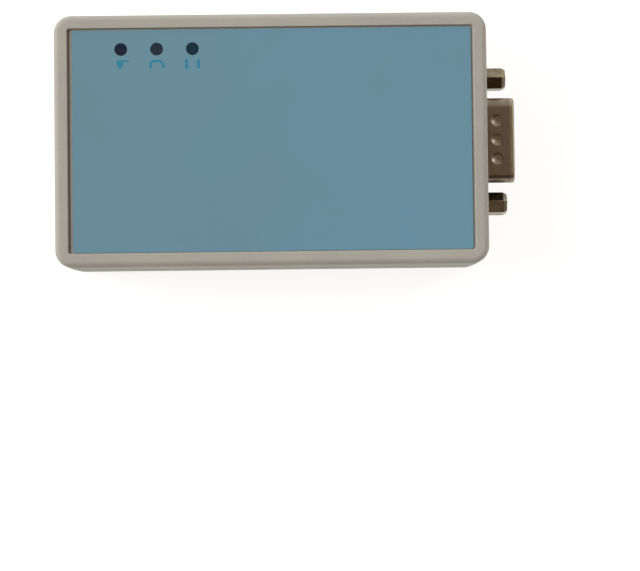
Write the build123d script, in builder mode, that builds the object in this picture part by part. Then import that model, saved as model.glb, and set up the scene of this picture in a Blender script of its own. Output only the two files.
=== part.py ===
"""USB to serial adapter module: a two-part case with a board, a USB type B socket and a nine-pin D plug.

Millimetres. +X points to the serial connector, +Y across the case, +Z up. The origin is at the centre of the
flat bottom of the case. The places of the pieces are worked out from the sizes below: the board stands on its
standoffs, the connectors stand on the board, and the case's openings and lamp holes follow them.
"""
from build123d import *
from math import copysign, cos, hypot, radians, tan
import os

os.makedirs("parts", exist_ok=True)

# Case, two moulded halves with draft from the seam
case_length = 85.0
case_width = 49.6
case_height = 21.0
seam_height = 9.6
seam_gap = 0.3
draft_angle = 0.5
wall = 2.0
floor_thickness = 2.0
roof_thickness = 1.8
corner_radius = 3.5
inner_corner_radius = 1.5
bottom_edge_radius = 1.0
top_edge_radius = 1.2
lip_thickness = 0.9
lip_height = 1.2
lip_clearance = 0.1

# Label and its recess
rim_width = 2.7
recess_depth = 0.6
recess_corner_radius = 0.5
recess_edge_radius = 0.2
label_gap_x = 0.65
label_gap_y = 0.2
label_shift_x = 0.25
label_shift_y = -0.1
label_thickness = 0.25

# Lamps and their holes
lamp_count = 3
lamp_pitch = 7.0
lamp_end_inset = 13.3
lamp_side_inset = 6.9
lamp_hole_radius = 1.25
lamp_radius = 1.5
lamp_rim_radius = 1.9
lamp_rim_height = 1.0
lamp_height = 5.3
lamp_drop = 0.4
lamp_lead_pitch = 2.54
lamp_lead_width = 0.5

# Screws that close the case, from below into the cover's bosses
post_inset = 3.3
post_radius = 3.8
post_gap = 0.6
boss_rib_thickness = 1.2
head_seat_height = 4.0
case_screw_radius = 1.2
case_screw_head_radius = 2.4
case_screw_head_height = 1.8
case_screw_length = 12.0
screw_clearance = 0.25
pilot_clearance = 0.05
case_screw_tip = 0.6
case_screw_dome = 0.6
drive_width = 0.9
drive_depth = 1.0

# Board
board_thickness = 1.6
board_gap = 0.5
standoff_height = 1.6
standoff_radius = 2.6
standoff_gap = 0.8
left_standoff_side_gap = 2.4
right_standoff_edge_inset = 4.3
board_screw_radius = 1.0
board_screw_head_radius = 2.0
board_screw_head_height = 1.3
board_screw_length = 4.2
board_screw_tip = 0.3
board_screw_dome = 0.4
board_drive_width = 0.45
board_drive_depth = 0.65
hole_clearance = 0.15
tail_length = 1.0

# Ribs of the cover that hold the board down
rib_thickness = 1.4
rib_reach = 2.4
rib_x = 12.0
rib_gap = 0.2

# Serial connector, nine pins, long side of the D up
flange_width = 30.8
flange_height = 12.5
flange_corner_radius = 0.8
flange_setback = 0.35
flange_fit = 0.15
shell_thickness = 0.5
shell_width = 16.92
shell_height = 8.36
shell_corner_radius = 2.1
shell_root_radius = 0.5
shell_rim_radius = 0.42
shell_length = 6.05
flank_angle = 10.0
dimple_radius = 1.2
dimple_depth = 0.32
dimple_pitch = 3.8
dimple_setback = 2.6
top_dimples = 3
bottom_dimples = 2
insulator_face = 0.7
insulator_body_width = 19.0
insulator_body_above_axis = 5.3
insulator_body_depth = 6.0
insulator_fit = 0.05
pin_radius = 0.51
pin_tip_radius = 0.35
pin_tip_length = 0.2
pin_length = 4.7
pin_pitch = 2.77
pin_row_spacing = 2.84
pin_tail_width = 0.7
near_tail_row = 8.08
bracket_thickness = 0.8
bracket_foot_length = 8.0
bracket_peg_length = 2.0

# Jackscrews beside the D, and the nuts behind the brackets
jack_spacing = 24.99
jack_across_flats = 4.15
jack_hex_length = 4.65
jack_turns = (-11.0, -4.0)
jack_chamfer_length = 0.8
jack_chamfer_depth = 0.35
jack_shank_radius = 1.4
jack_hole_radius = 1.25
jack_hole_depth = 4.4
jack_fit = 0.15
nut_across_flats = 5.0
nut_thickness = 3.0

# USB type B socket
usb_width = 12.04
usb_height = 10.9
usb_depth = 16.2
usb_thickness = 0.35
usb_corner_radius = 0.6
usb_setback = 0.2
usb_fit = 0.15
usb_mouth_width = 8.45
usb_mouth_height = 7.78
usb_mouth_bevel = 1.6
usb_insulator_setback = 0.3
usb_insulator_depth = 11.4
usb_mouth_depth = 9.6
usb_tongue_width = 5.6
usb_tongue_thickness = 3.18
usb_tongue_setback = 1.0
usb_contact_width = 1.0
usb_contact_thickness = 0.3
usb_contact_pitch = 2.5
usb_contact_length = 7.2
usb_contact_inset = 0.2
usb_near_tail_row = 12.4
usb_tail_row_spacing = 2.0
usb_leg_width = 2.3
usb_leg_place = 7.6
usb_finger_width = 2.2
usb_finger_length = 5.0
usb_finger_slit = 0.5
usb_finger_place = 5.2
usb_finger_spacing = 5.0

# Chips with gull-wing leads
chip_draft = 8.0
chip_stand = 0.12
lead_thickness = 0.18
lead_knee = 0.7
dot_radius = 0.45
dot_depth = 0.1
dot_inset = 1.1
bridge_length = 10.2
bridge_width = 5.3
bridge_height = 1.8
bridge_span = 7.8
bridge_lead_count = 28
bridge_pitch = 0.65
bridge_lead_width = 0.3
bridge_to_usb = 14.6
bridge_y = -1.0
driver_length = 9.9
driver_width = 3.9
driver_height = 1.5
driver_span = 6.0
driver_lead_count = 16
driver_pitch = 1.27
driver_lead_width = 0.42
driver_to_tails = 14.7
driver_y = 1.0
memory_length = 4.9
memory_lead_count = 8
memory_y = 9.0

# Other components on the board
crystal_length = 11.0
crystal_width = 4.6
crystal_height = 3.4
crystal_base_height = 0.5
crystal_base_rim = 0.35
crystal_lead_radius = 0.25
crystal_lead_pitch = 4.88
crystal_offset = 3.0
crystal_y = -11.0
can_radius = 3.15
can_height = 5.2
can_edge_bevel = 0.4
can_groove_height = 1.2
can_groove_depth = 0.35
can_base_width = 6.6
can_base_height = 1.0
can_base_bevel = 1.3
can_offset = 6.5
can_y = 10.5
regulator_length = 6.5
regulator_width = 3.5
regulator_height = 1.6
regulator_span = 7.0
regulator_lead_count = 3
regulator_pitch = 2.3
regulator_lead_width = 0.7
regulator_tab_width = 3.0
regulator_to_usb = 4.6
regulator_y = -11.0
bead_length = 4.5
bead_width = 3.2
bead_height = 1.8
bead_y = 4.0
fuse_length = 4.5
fuse_width = 3.2
fuse_height = 1.0
fuse_y = -5.0
fuse_to_usb = 4.6
capacitor_length = 2.0
capacitor_width = 1.25
capacitor_height = 1.1
resistor_length = 2.0
resistor_width = 1.25
resistor_height = 0.55
component_gap = 1.2
end_cap_share = 0.25
end_cap_step = 0.04

# Places worked out from the sizes
inner_length = case_length - 2 * wall
inner_width = case_width - 2 * wall
cover_base = seam_height + seam_gap
lip_top = cover_base + lip_height
recess_floor = case_height - recess_depth
ceiling = recess_floor - roof_thickness
top_inset = (case_height - cover_base) * tan(radians(draft_angle))
recess_length = case_length - 2 * (top_inset + rim_width)
recess_width = case_width - 2 * (top_inset + rim_width)
post_y = inner_width / 2 - post_inset
boss_radius = post_inset - lip_clearance
board_bottom = floor_thickness + standoff_height
board_top = board_bottom + board_thickness
board_length = inner_length - 2 * board_gap
board_width = inner_width - 2 * board_gap
tail_bottom = board_bottom - tail_length
lamp_y = case_width / 2 - lamp_side_inset
lamp_places = [(-case_length / 2 + lamp_end_inset + i * lamp_pitch, lamp_y) for i in range(lamp_count)]

serial_axis = board_top + flange_height / 2
flange_front = case_length / 2 - flange_setback
flange_back = flange_front - shell_thickness
jack_places = [(-jack_spacing / 2, 0), (jack_spacing / 2, 0)]
upper_pins = [(i - 2) * pin_pitch for i in range(5)]
lower_pins = [(i - 1.5) * pin_pitch for i in range(4)]
lower_tail_x = flange_front - near_tail_row
upper_tail_x = lower_tail_x - pin_row_spacing

usb_axis = board_top + usb_height / 2
usb_front = -case_length / 2 + usb_setback
usb_leg_x = usb_front + usb_leg_place
usb_leg_y = (usb_width - usb_thickness) / 2
usb_contact_y = usb_contact_pitch / 2
usb_upper_tail_x = usb_front + usb_near_tail_row + usb_tail_row_spacing
usb_lower_tail_x = usb_front + usb_near_tail_row

# the posts stand in the corners at the socket's end, and behind the brackets at the other
left_post_x = -inner_length / 2 + post_inset
right_post_x = flange_back - bracket_foot_length - post_gap - post_radius
post_places = [(x, y) for x in (left_post_x, right_post_x) for y in (-post_y, post_y)]
left_standoff_x = left_post_x + post_radius + standoff_gap + standoff_radius
left_standoff_y = usb_width / 2 + left_standoff_side_gap + standoff_radius
right_standoff_x = right_post_x - post_radius - standoff_gap - standoff_radius
right_standoff_y = board_width / 2 - right_standoff_edge_inset
standoff_places = [
    (left_standoff_x, left_standoff_y),
    (left_standoff_x, -left_standoff_y),
    (right_standoff_x, right_standoff_y),
    (right_standoff_x, -right_standoff_y),
]

# components: one group behind the socket, the other before the serial tails
usb_back = usb_front + usb_depth
bridge_x = usb_back + bridge_to_usb
memory_x = bridge_x
crystal_x = bridge_x + crystal_offset
regulator_x = usb_back + regulator_to_usb
fuse_x = usb_back + fuse_to_usb
bead_x = fuse_x
driver_x = upper_tail_x - driver_to_tails
can_x = driver_x - can_offset

seam_down = Plane(origin=(0, 0, seam_height), x_dir=(1, 0, 0), z_dir=(0, 0, -1))
underside = Plane(origin=(0, 0, 0), x_dir=(1, 0, 0), z_dir=(0, 0, -1))
serial_plane = Plane(origin=(flange_front, 0, serial_axis), x_dir=(0, 1, 0), z_dir=(1, 0, 0))
usb_plane = Plane(origin=(usb_front, 0, usb_axis), x_dir=(0, 1, 0), z_dir=(1, 0, 0))


def side_plane(y):
    """Plane seen from the -Y side, with X to the right and Z up."""
    return Plane(origin=(0, y, 0), x_dir=(1, 0, 0), z_dir=(0, -1, 0))


def cut_connector_openings():
    """Openings of both end walls, each around its connector. Both halves of the case use them."""
    with BuildSketch(serial_plane.offset(flange_setback)) as serial_opening:
        Rectangle(flange_width + 2 * flange_fit, flange_height + 2 * flange_fit)
    extrude(serial_opening.sketch, amount=-wall - flange_setback, mode=Mode.SUBTRACT)
    with BuildSketch(usb_plane.offset(-usb_setback)) as usb_opening:
        Rectangle(usb_width + 2 * usb_fit, usb_height + 2 * usb_fit)
    extrude(usb_opening.sketch, amount=wall + usb_setback, mode=Mode.SUBTRACT)


def lead_hole_radius(width, thickness):
    """Radius of the board hole that takes a lead of this section."""
    return hypot(width, thickness) / 2 + hole_clearance


def d_outline(inset):
    """D of the serial connector, inset from the outside of its shell, with the long side up."""
    flank = radians(flank_angle)
    lean = shell_height * tan(flank)
    # the shell's width is measured across its rounded ends, inside the sharp corners
    half_top = shell_width / 2 + shell_corner_radius * (tan(flank) + 1 / cos(flank) - 1)
    with BuildSketch(mode=Mode.PRIVATE) as outline:
        with BuildLine():
            Polyline(
                (-half_top, shell_height / 2),
                (half_top, shell_height / 2),
                (half_top - lean, -shell_height / 2),
                (-half_top + lean, -shell_height / 2),
                close=True,
            )
        make_face()
        fillet(outline.vertices(), shell_corner_radius)
        if inset > 0:
            offset(amount=-inset, mode=Mode.REPLACE)
    return outline.sketch


# Bottom case
with BuildPart() as bottom_case:
    with BuildSketch(seam_down):
        RectangleRounded(case_length, case_width, corner_radius)
    extrude(amount=seam_height, taper=draft_angle)
    fillet(bottom_case.faces().sort_by(Axis.Z)[0].edges(), bottom_edge_radius)
    with BuildSketch(seam_down):
        RectangleRounded(inner_length, inner_width, inner_corner_radius)
    extrude(amount=seam_height - floor_thickness, mode=Mode.SUBTRACT)
    with BuildSketch(Plane.XY.offset(floor_thickness)):
        with Locations(*post_places):
            Circle(post_radius)
    extrude(amount=seam_height - floor_thickness)
    # tongue above the rim, which locates the cover
    with BuildSketch(Plane.XY.offset(seam_height)):
        RectangleRounded(
            inner_length + 2 * lip_thickness,
            inner_width + 2 * lip_thickness,
            inner_corner_radius + lip_thickness,
        )
        RectangleRounded(inner_length, inner_width, inner_corner_radius, mode=Mode.SUBTRACT)
    extrude(amount=lip_top - seam_height)
    with BuildSketch(Plane.XY.offset(floor_thickness)):
        with Locations(*standoff_places):
            Circle(standoff_radius)
    extrude(amount=standoff_height)
    # pilot holes of the board screws
    with Locations(*[(x, y, board_bottom) for x, y in standoff_places]):
        pilot_depth = board_screw_length - board_thickness + pilot_clearance
        Hole(board_screw_radius + pilot_clearance, depth=pilot_depth)
    with Locations(underside):
        with Locations(*post_places):
            CounterBoreHole(
                radius=case_screw_radius + screw_clearance,
                counter_bore_radius=case_screw_head_radius + screw_clearance,
                counter_bore_depth=head_seat_height,
                depth=seam_height,
            )
    cut_connector_openings()
bottom_case.part.label = "bottom_case"
export_step(bottom_case.part, "parts/bottom_case.step")

# Top cover
with BuildPart() as top_cover:
    with BuildSketch(Plane.XY.offset(cover_base)):
        RectangleRounded(case_length, case_width, corner_radius)
    extrude(amount=case_height - cover_base, taper=draft_angle)
    fillet(top_cover.faces().sort_by(Axis.Z)[-1].edges(), top_edge_radius)
    with BuildSketch(Plane.XY.offset(cover_base)):
        RectangleRounded(inner_length, inner_width, inner_corner_radius)
    extrude(amount=ceiling - cover_base, taper=draft_angle, mode=Mode.SUBTRACT)
    # groove that takes the tongue of the bottom case
    with BuildSketch(Plane.XY.offset(cover_base)):
        RectangleRounded(
            inner_length + 2 * (lip_thickness + lip_clearance),
            inner_width + 2 * (lip_thickness + lip_clearance),
            inner_corner_radius + lip_thickness + lip_clearance,
        )
    extrude(amount=lip_height, mode=Mode.SUBTRACT)
    # bosses that come down to the posts of the bottom case, each with a rib to the side wall
    with BuildSketch(Plane.XY.offset(seam_height)):
        with Locations(*post_places):
            Circle(boss_radius)
    extrude(amount=ceiling - seam_height)
    with BuildSketch(Plane.XY.offset(lip_top)):
        with Locations(*[(x, copysign((post_y + inner_width / 2) / 2, y)) for x, y in post_places]):
            Rectangle(boss_rib_thickness, inner_width / 2 - post_y)
    extrude(amount=ceiling - lip_top)
    with BuildSketch(Plane.XY.offset(seam_height)):
        with Locations(*post_places):
            Circle(case_screw_radius + pilot_clearance)
    extrude(amount=head_seat_height + case_screw_length + pilot_clearance - seam_height, mode=Mode.SUBTRACT)
    # ribs along both side walls, which hold the board down
    with BuildSketch(Plane.XY.offset(board_top + rib_gap)):
        for side in (-1, 1):
            with Locations((0, side * (inner_width - rib_reach - 2 * lip_clearance) / 2)):
                with GridLocations(2 * rib_x, 1, 2, 1):
                    Rectangle(rib_thickness, rib_reach)
    extrude(amount=ceiling - board_top - rib_gap)
    # recess for the label
    with BuildSketch(Plane.XY.offset(recess_floor)):
        RectangleRounded(recess_length, recess_width, recess_corner_radius)
    extrude(amount=recess_depth, mode=Mode.SUBTRACT)
    recess_edges = top_cover.faces().sort_by(Axis.Z)[-1].inner_wires().edges()
    fillet(recess_edges, recess_edge_radius)
    with BuildSketch(Plane.XY.offset(ceiling)):
        with Locations(*lamp_places):
            Circle(lamp_hole_radius)
    extrude(amount=roof_thickness, mode=Mode.SUBTRACT)
    cut_connector_openings()
top_cover.part.label = "top_cover"
export_step(top_cover.part, "parts/top_cover.step")

# Label film in the recess
with BuildPart() as label:
    with BuildSketch(Plane.XY.offset(recess_floor)):
        # laid by hand, a little off the middle of its recess
        with Locations((label_shift_x, label_shift_y)):
            RectangleRounded(
                recess_length - 2 * label_gap_x,
                recess_width - 2 * label_gap_y,
                recess_corner_radius,
            )
        with Locations(*lamp_places):
            Circle(lamp_hole_radius, mode=Mode.SUBTRACT)
    extrude(amount=label_thickness)
label.part.label = "label"
export_step(label.part, "parts/label.step")

# Screws that close the case
with BuildPart() as case_screws:
    with Locations(underside):
        with Locations(*post_places):
            with Locations((0, 0, -head_seat_height)):
                Cylinder(
                    case_screw_head_radius,
                    case_screw_head_height,
                    align=(Align.CENTER, Align.CENTER, Align.MIN),
                )
                Cylinder(
                    case_screw_radius,
                    case_screw_length,
                    align=(Align.CENTER, Align.CENTER, Align.MAX),
                )
    chamfer(case_screws.faces().group_by(Axis.Z)[-1].edges(), case_screw_tip)
    chamfer(case_screws.faces().group_by(Axis.Z)[0].edges(), case_screw_dome)
    # crossed drive recess
    with BuildSketch(underside.offset(case_screw_head_height - head_seat_height)):
        with Locations(*post_places):
            Rectangle(2 * case_screw_radius, drive_width)
            Rectangle(drive_width, 2 * case_screw_radius)
    extrude(amount=-drive_depth, mode=Mode.SUBTRACT)
case_screws.part.label = "case_screws"
export_step(case_screws.part, "parts/case_screws.step")

# Circuit board, with its corners cut away around the posts
with BuildPart() as circuit_board:
    with BuildSketch(Plane.XY.offset(board_bottom)):
        Rectangle(board_length, board_width)
        with Locations(*post_places):
            Circle(post_radius + board_gap, mode=Mode.SUBTRACT)
        with Locations(*[(x, copysign(board_width / 2, y)) for x, y in post_places]):
            Rectangle(2 * (post_radius + board_gap), board_width - 2 * post_y, mode=Mode.SUBTRACT)
        with Locations(*standoff_places):
            Circle(board_screw_radius + hole_clearance, mode=Mode.SUBTRACT)
        # serial pins, bracket pegs
        with Locations(*[(upper_tail_x, y) for y in upper_pins], *[(lower_tail_x, y) for y in lower_pins]):
            Circle(lead_hole_radius(pin_tail_width, pin_tail_width), mode=Mode.SUBTRACT)
        bracket_width = (flange_width - insulator_body_width) / 2 - insulator_fit
        bracket_y = (flange_width - bracket_width) / 2
        peg_x = flange_back - bracket_foot_length + bracket_peg_length
        with GridLocations(1, 2 * bracket_y, 1, 2):
            with Locations((peg_x, 0)):
                Rectangle(
                    bracket_peg_length + 2 * hole_clearance,
                    bracket_thickness + 2 * hole_clearance,
                    mode=Mode.SUBTRACT,
                )
        # socket contacts and legs
        with Locations((usb_upper_tail_x, 0), (usb_lower_tail_x, 0)):
            with GridLocations(1, usb_contact_pitch, 1, 2):
                Circle(lead_hole_radius(usb_contact_width, usb_contact_thickness), mode=Mode.SUBTRACT)
        with Locations((usb_leg_x, 0)):
            with GridLocations(1, 2 * usb_leg_y, 1, 2):
                Rectangle(
                    usb_leg_width + 2 * hole_clearance,
                    usb_thickness + 2 * hole_clearance,
                    mode=Mode.SUBTRACT,
                )
        # lamp and crystal leads
        with Locations(*lamp_places):
            with GridLocations(lamp_lead_pitch, 1, 2, 1):
                Circle(lead_hole_radius(lamp_lead_width, lamp_lead_width), mode=Mode.SUBTRACT)
        with Locations((crystal_x, crystal_y)):
            with GridLocations(crystal_lead_pitch, 1, 2, 1):
                Circle(crystal_lead_radius + hole_clearance, mode=Mode.SUBTRACT)
    extrude(amount=board_thickness)
circuit_board.part.label = "circuit_board"
export_step(circuit_board.part, "parts/circuit_board.step")

# Screws that hold the board on its standoffs
with BuildPart() as board_screws:
    with Locations(*[(x, y, board_top) for x, y in standoff_places]):
        Cylinder(
            board_screw_head_radius,
            board_screw_head_height,
            align=(Align.CENTER, Align.CENTER, Align.MIN),
        )
        Cylinder(board_screw_radius, board_screw_length, align=(Align.CENTER, Align.CENTER, Align.MAX))
    chamfer(board_screws.faces().group_by(Axis.Z)[-1].edges(), board_screw_dome)
    chamfer(board_screws.faces().group_by(Axis.Z)[0].edges(), board_screw_tip)
    with BuildSketch(Plane.XY.offset(board_top + board_screw_head_height)):
        with Locations(*standoff_places):
            Rectangle(2 * board_screw_radius, board_drive_width)
            Rectangle(board_drive_width, 2 * board_screw_radius)
    extrude(amount=-board_drive_depth, mode=Mode.SUBTRACT)
board_screws.part.label = "board_screws"
export_step(board_screws.part, "parts/board_screws.step")


def spherical_cap(ball_radius, ball_height):
    """Part of a ball that dips below the XY plane, for a ball whose centre stands above it."""
    with BuildPart() as cap:
        with Locations((0, 0, ball_height)):
            Sphere(ball_radius)
        split(bisect_by=Plane.XY, keep=Keep.BOTTOM)
    return cap.part


def press_dimples(face_plane, count):
    """Round dimples pressed into one wall of the D: a dent outside and the same bump inside."""
    ball_radius = (dimple_radius**2 + dimple_depth**2) / (2 * dimple_depth)
    ball_height = ball_radius - dimple_depth
    bump = spherical_cap(ball_radius + shell_thickness, ball_height)
    dent = spherical_cap(ball_radius, ball_height)
    with Locations(face_plane):
        with GridLocations(1, dimple_pitch, 1, count):
            add(bump)
            add(dent, mode=Mode.SUBTRACT)


# Serial connector: drawn steel shell with its flange
with BuildPart() as serial_shell:
    with BuildSketch(serial_plane):
        RectangleRounded(flange_width, flange_height, flange_corner_radius)
        with Locations(*jack_places):
            Circle(jack_shank_radius + jack_fit, mode=Mode.SUBTRACT)
    extrude(amount=-shell_thickness)
    with BuildSketch(serial_plane):
        add(d_outline(0))
    extrude(amount=shell_length)
    root_edges = serial_shell.edges(Select.LAST).group_by(Axis.X)[0]
    fillet(root_edges, shell_root_radius)
    with BuildSketch(serial_plane.offset(-shell_thickness)):
        add(d_outline(shell_thickness))
    extrude(amount=shell_thickness + shell_length, mode=Mode.SUBTRACT)
    fillet(serial_shell.faces().sort_by(Axis.X)[-1].outer_wire().edges(), shell_rim_radius)
    dimple_x = flange_front + dimple_setback
    upper_face = Plane(
        origin=(dimple_x, 0, serial_axis + shell_height / 2), x_dir=(1, 0, 0), z_dir=(0, 0, 1)
    )
    lower_face = Plane(
        origin=(dimple_x, 0, serial_axis - shell_height / 2), x_dir=(1, 0, 0), z_dir=(0, 0, -1)
    )
    press_dimples(upper_face, top_dimples)
    press_dimples(lower_face, bottom_dimples)
serial_shell.part.label = "serial_shell"
export_step(serial_shell.part, "parts/serial_shell.step")

# Serial connector: moulded insulator, which stands on the board behind the flange
with BuildPart() as serial_insulator:
    with BuildSketch(serial_plane.offset(-shell_thickness)):
        body_low = -flange_height / 2
        with Locations((0, (insulator_body_above_axis + body_low) / 2)):
            Rectangle(insulator_body_width, insulator_body_above_axis - body_low)
    extrude(amount=-insulator_body_depth)
    with BuildSketch(serial_plane.offset(-shell_thickness)):
        add(d_outline(shell_thickness + insulator_fit))
    extrude(amount=shell_thickness + insulator_face)
    with BuildSketch(serial_plane.offset(insulator_face)):
        with Locations(*[(y, pin_row_spacing / 2) for y in upper_pins]):
            Circle(pin_radius + insulator_fit)
        with Locations(*[(y, -pin_row_spacing / 2) for y in lower_pins]):
            Circle(pin_radius + insulator_fit)
    extrude(amount=-insulator_face - shell_thickness - insulator_body_depth, mode=Mode.SUBTRACT)
serial_insulator.part.label = "serial_insulator"
export_step(serial_insulator.part, "parts/serial_insulator.step")

# Serial connector: nine pins, each with a tail that turns down through the board
with BuildPart() as serial_pins:
    pin_back = -shell_thickness - insulator_body_depth - pin_radius
    with BuildSketch(serial_plane.offset(insulator_face + pin_length)):
        with Locations(*[(y, pin_row_spacing / 2) for y in upper_pins]):
            Circle(pin_radius)
        with Locations(*[(y, -pin_row_spacing / 2) for y in lower_pins]):
            Circle(pin_radius)
    extrude(amount=pin_back - insulator_face - pin_length)
    chamfer(serial_pins.faces().group_by(Axis.X)[-1].edges(), pin_tip_radius, pin_tip_length)
    tails = [(y, upper_tail_x, pin_row_spacing / 2) for y in upper_pins]
    tails += [(y, lower_tail_x, -pin_row_spacing / 2) for y in lower_pins]
    for y, tail_x, row_height in tails:
        with BuildSketch(side_plane(y)):
            with BuildLine():
                Polyline(
                    (flange_front + pin_back + pin_radius, serial_axis + row_height),
                    (tail_x, serial_axis + row_height),
                    (tail_x, tail_bottom),
                )
            trace(line_width=pin_tail_width)
        extrude(amount=pin_tail_width / 2, both=True)
serial_pins.part.label = "serial_pins"
export_step(serial_pins.part, "parts/serial_pins.step")

# Serial connector: a bracket at each side, with a foot and a peg in the board
with BuildPart() as serial_brackets:
    for side in (-1, 1):
        with BuildSketch(side_plane(side * bracket_y)):
            with BuildLine():
                Polyline(
                    (flange_back - bracket_thickness / 2, serial_axis + flange_height / 2),
                    (flange_back - bracket_thickness / 2, board_top + bracket_thickness / 2),
                    (flange_back - bracket_foot_length, board_top + bracket_thickness / 2),
                )
            trace(line_width=bracket_thickness)
        extrude(amount=bracket_width / 2, both=True)
        with BuildSketch(Plane.XY.offset(tail_bottom)):
            with Locations((peg_x, side * bracket_y)):
                Rectangle(bracket_peg_length, bracket_thickness)
        extrude(amount=board_top + bracket_thickness / 2 - tail_bottom)
    with BuildSketch(serial_plane.offset(-shell_thickness)):
        with Locations(*jack_places):
            Circle(jack_shank_radius + jack_fit)
    extrude(amount=-bracket_thickness, mode=Mode.SUBTRACT)
serial_brackets.part.label = "serial_brackets"
export_step(serial_brackets.part, "parts/serial_brackets.step")

# Nuts behind the brackets
with BuildPart() as jackscrew_nuts:
    with BuildSketch(serial_plane.offset(-shell_thickness - bracket_thickness)):
        with Locations(*jack_places):
            RegularPolygon(nut_across_flats / 2, 6, major_radius=False)
            Circle(jack_shank_radius + pilot_clearance, mode=Mode.SUBTRACT)
    extrude(amount=-nut_thickness)
jackscrew_nuts.part.label = "jackscrew_nuts"
export_step(jackscrew_nuts.part, "parts/jackscrew_nuts.step")

# Jackscrews: a hexagon with a threaded hole in front, and a shank through flange, bracket and nut
with BuildPart() as jackscrews:
    with BuildSketch(serial_plane):
        for place, turn in zip(jack_places, jack_turns):
            with Locations(place):
                RegularPolygon(jack_across_flats / 2, 6, major_radius=False, rotation=30 + turn)
    extrude(amount=jack_hex_length)
    for front_face in jackscrews.faces().group_by(Axis.X)[-1]:
        chamfer(front_face.edges(), jack_chamfer_depth, jack_chamfer_length, reference=front_face)
    with BuildSketch(serial_plane):
        with Locations(*jack_places):
            Circle(jack_shank_radius)
    extrude(amount=-shell_thickness - bracket_thickness - nut_thickness)
    with BuildSketch(serial_plane.offset(jack_hex_length)):
        with Locations(*jack_places):
            Circle(jack_hole_radius)
    extrude(amount=-jack_hole_depth, mode=Mode.SUBTRACT)
jackscrews.part.label = "jackscrews"
export_step(jackscrews.part, "parts/jackscrews.step")

# USB socket: folded steel can with two legs and two spring fingers in its top
with BuildPart() as usb_shell:
    with BuildSketch(usb_plane):
        RectangleRounded(usb_width, usb_height, usb_corner_radius)
    extrude(amount=usb_depth)
    with BuildSketch(usb_plane):
        RectangleRounded(
            usb_width - 2 * usb_thickness,
            usb_height - 2 * usb_thickness,
            usb_corner_radius - usb_thickness / 2,
        )
    extrude(amount=usb_depth - usb_thickness, mode=Mode.SUBTRACT)
    # the bottom is open behind the insulator, where the contacts turn down
    tails_start = usb_front + usb_insulator_setback + usb_insulator_depth
    tails_end = usb_front + usb_depth - usb_thickness
    with BuildSketch(Plane.XY.offset(board_top)):
        with Locations(((tails_start + tails_end) / 2, 0)):
            Rectangle(tails_end - tails_start, usb_width - 2 * usb_thickness - 2 * usb_corner_radius)
    extrude(amount=usb_thickness, mode=Mode.SUBTRACT)
    with BuildSketch(Plane.XY.offset(tail_bottom)):
        with Locations((usb_leg_x, 0)):
            with GridLocations(1, 2 * usb_leg_y, 1, 2):
                Rectangle(usb_leg_width, usb_thickness)
    extrude(amount=board_top + usb_corner_radius - tail_bottom)
    # slits around the fingers
    with BuildSketch(Plane.XY.offset(board_top + usb_height - usb_thickness)):
        with Locations((usb_front + usb_finger_place, 0)):
            with GridLocations(1, usb_finger_spacing, 1, 2):
                Rectangle(usb_finger_length + usb_finger_slit, usb_finger_width + 2 * usb_finger_slit)
                with Locations((usb_finger_slit, 0)):
                    Rectangle(usb_finger_length + usb_finger_slit, usb_finger_width, mode=Mode.SUBTRACT)
    extrude(amount=usb_thickness, mode=Mode.SUBTRACT)
usb_shell.part.label = "usb_shell"
export_step(usb_shell.part, "parts/usb_shell.step")

# USB socket: insulator with the mouth for the plug and a tongue in it
with BuildPart() as usb_insulator:
    with BuildSketch(usb_plane.offset(usb_insulator_setback)):
        RectangleRounded(
            usb_width - 2 * (usb_thickness + insulator_fit),
            usb_height - 2 * (usb_thickness + insulator_fit),
            usb_corner_radius - usb_thickness / 2,
        )
    extrude(amount=usb_insulator_depth)
    with BuildSketch(usb_plane.offset(usb_insulator_setback)) as mouth:
        Rectangle(usb_mouth_width, usb_mouth_height)
        chamfer(mouth.vertices().group_by(Axis.Y)[-1], usb_mouth_bevel)
    extrude(amount=usb_mouth_depth, mode=Mode.SUBTRACT)
    with BuildSketch(usb_plane.offset(usb_insulator_setback + usb_tongue_setback)):
        Rectangle(usb_tongue_width, usb_tongue_thickness)
    extrude(amount=usb_mouth_depth - usb_tongue_setback)
    # grooves of the four contacts, through the back
    groove_height = usb_tongue_thickness / 2 - usb_contact_inset + usb_contact_thickness / 2
    contact_start = usb_insulator_setback + usb_mouth_depth - usb_contact_length
    with BuildSketch(usb_plane.offset(contact_start)):
        with GridLocations(usb_contact_pitch, 2 * groove_height, 2, 2):
            Rectangle(usb_contact_width + 2 * insulator_fit, usb_contact_thickness + 2 * insulator_fit)
    extrude(amount=usb_insulator_depth, mode=Mode.SUBTRACT)
usb_insulator.part.label = "usb_insulator"
export_step(usb_insulator.part, "parts/usb_insulator.step")

# USB socket: four contacts, two on each face of the tongue
with BuildPart() as usb_contacts:
    for y in (-usb_contact_y, usb_contact_y):
        for row_height, tail_x in ((groove_height, usb_upper_tail_x), (-groove_height, usb_lower_tail_x)):
            with BuildSketch(side_plane(y)):
                with BuildLine():
                    Polyline(
                        (usb_front + contact_start + insulator_fit, usb_axis + row_height),
                        (tail_x, usb_axis + row_height),
                        (tail_x, tail_bottom),
                    )
                trace(line_width=usb_contact_thickness)
            extrude(amount=usb_contact_width / 2, both=True)
usb_contacts.part.label = "usb_contacts"
export_step(usb_contacts.part, "parts/usb_contacts.step")

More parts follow.
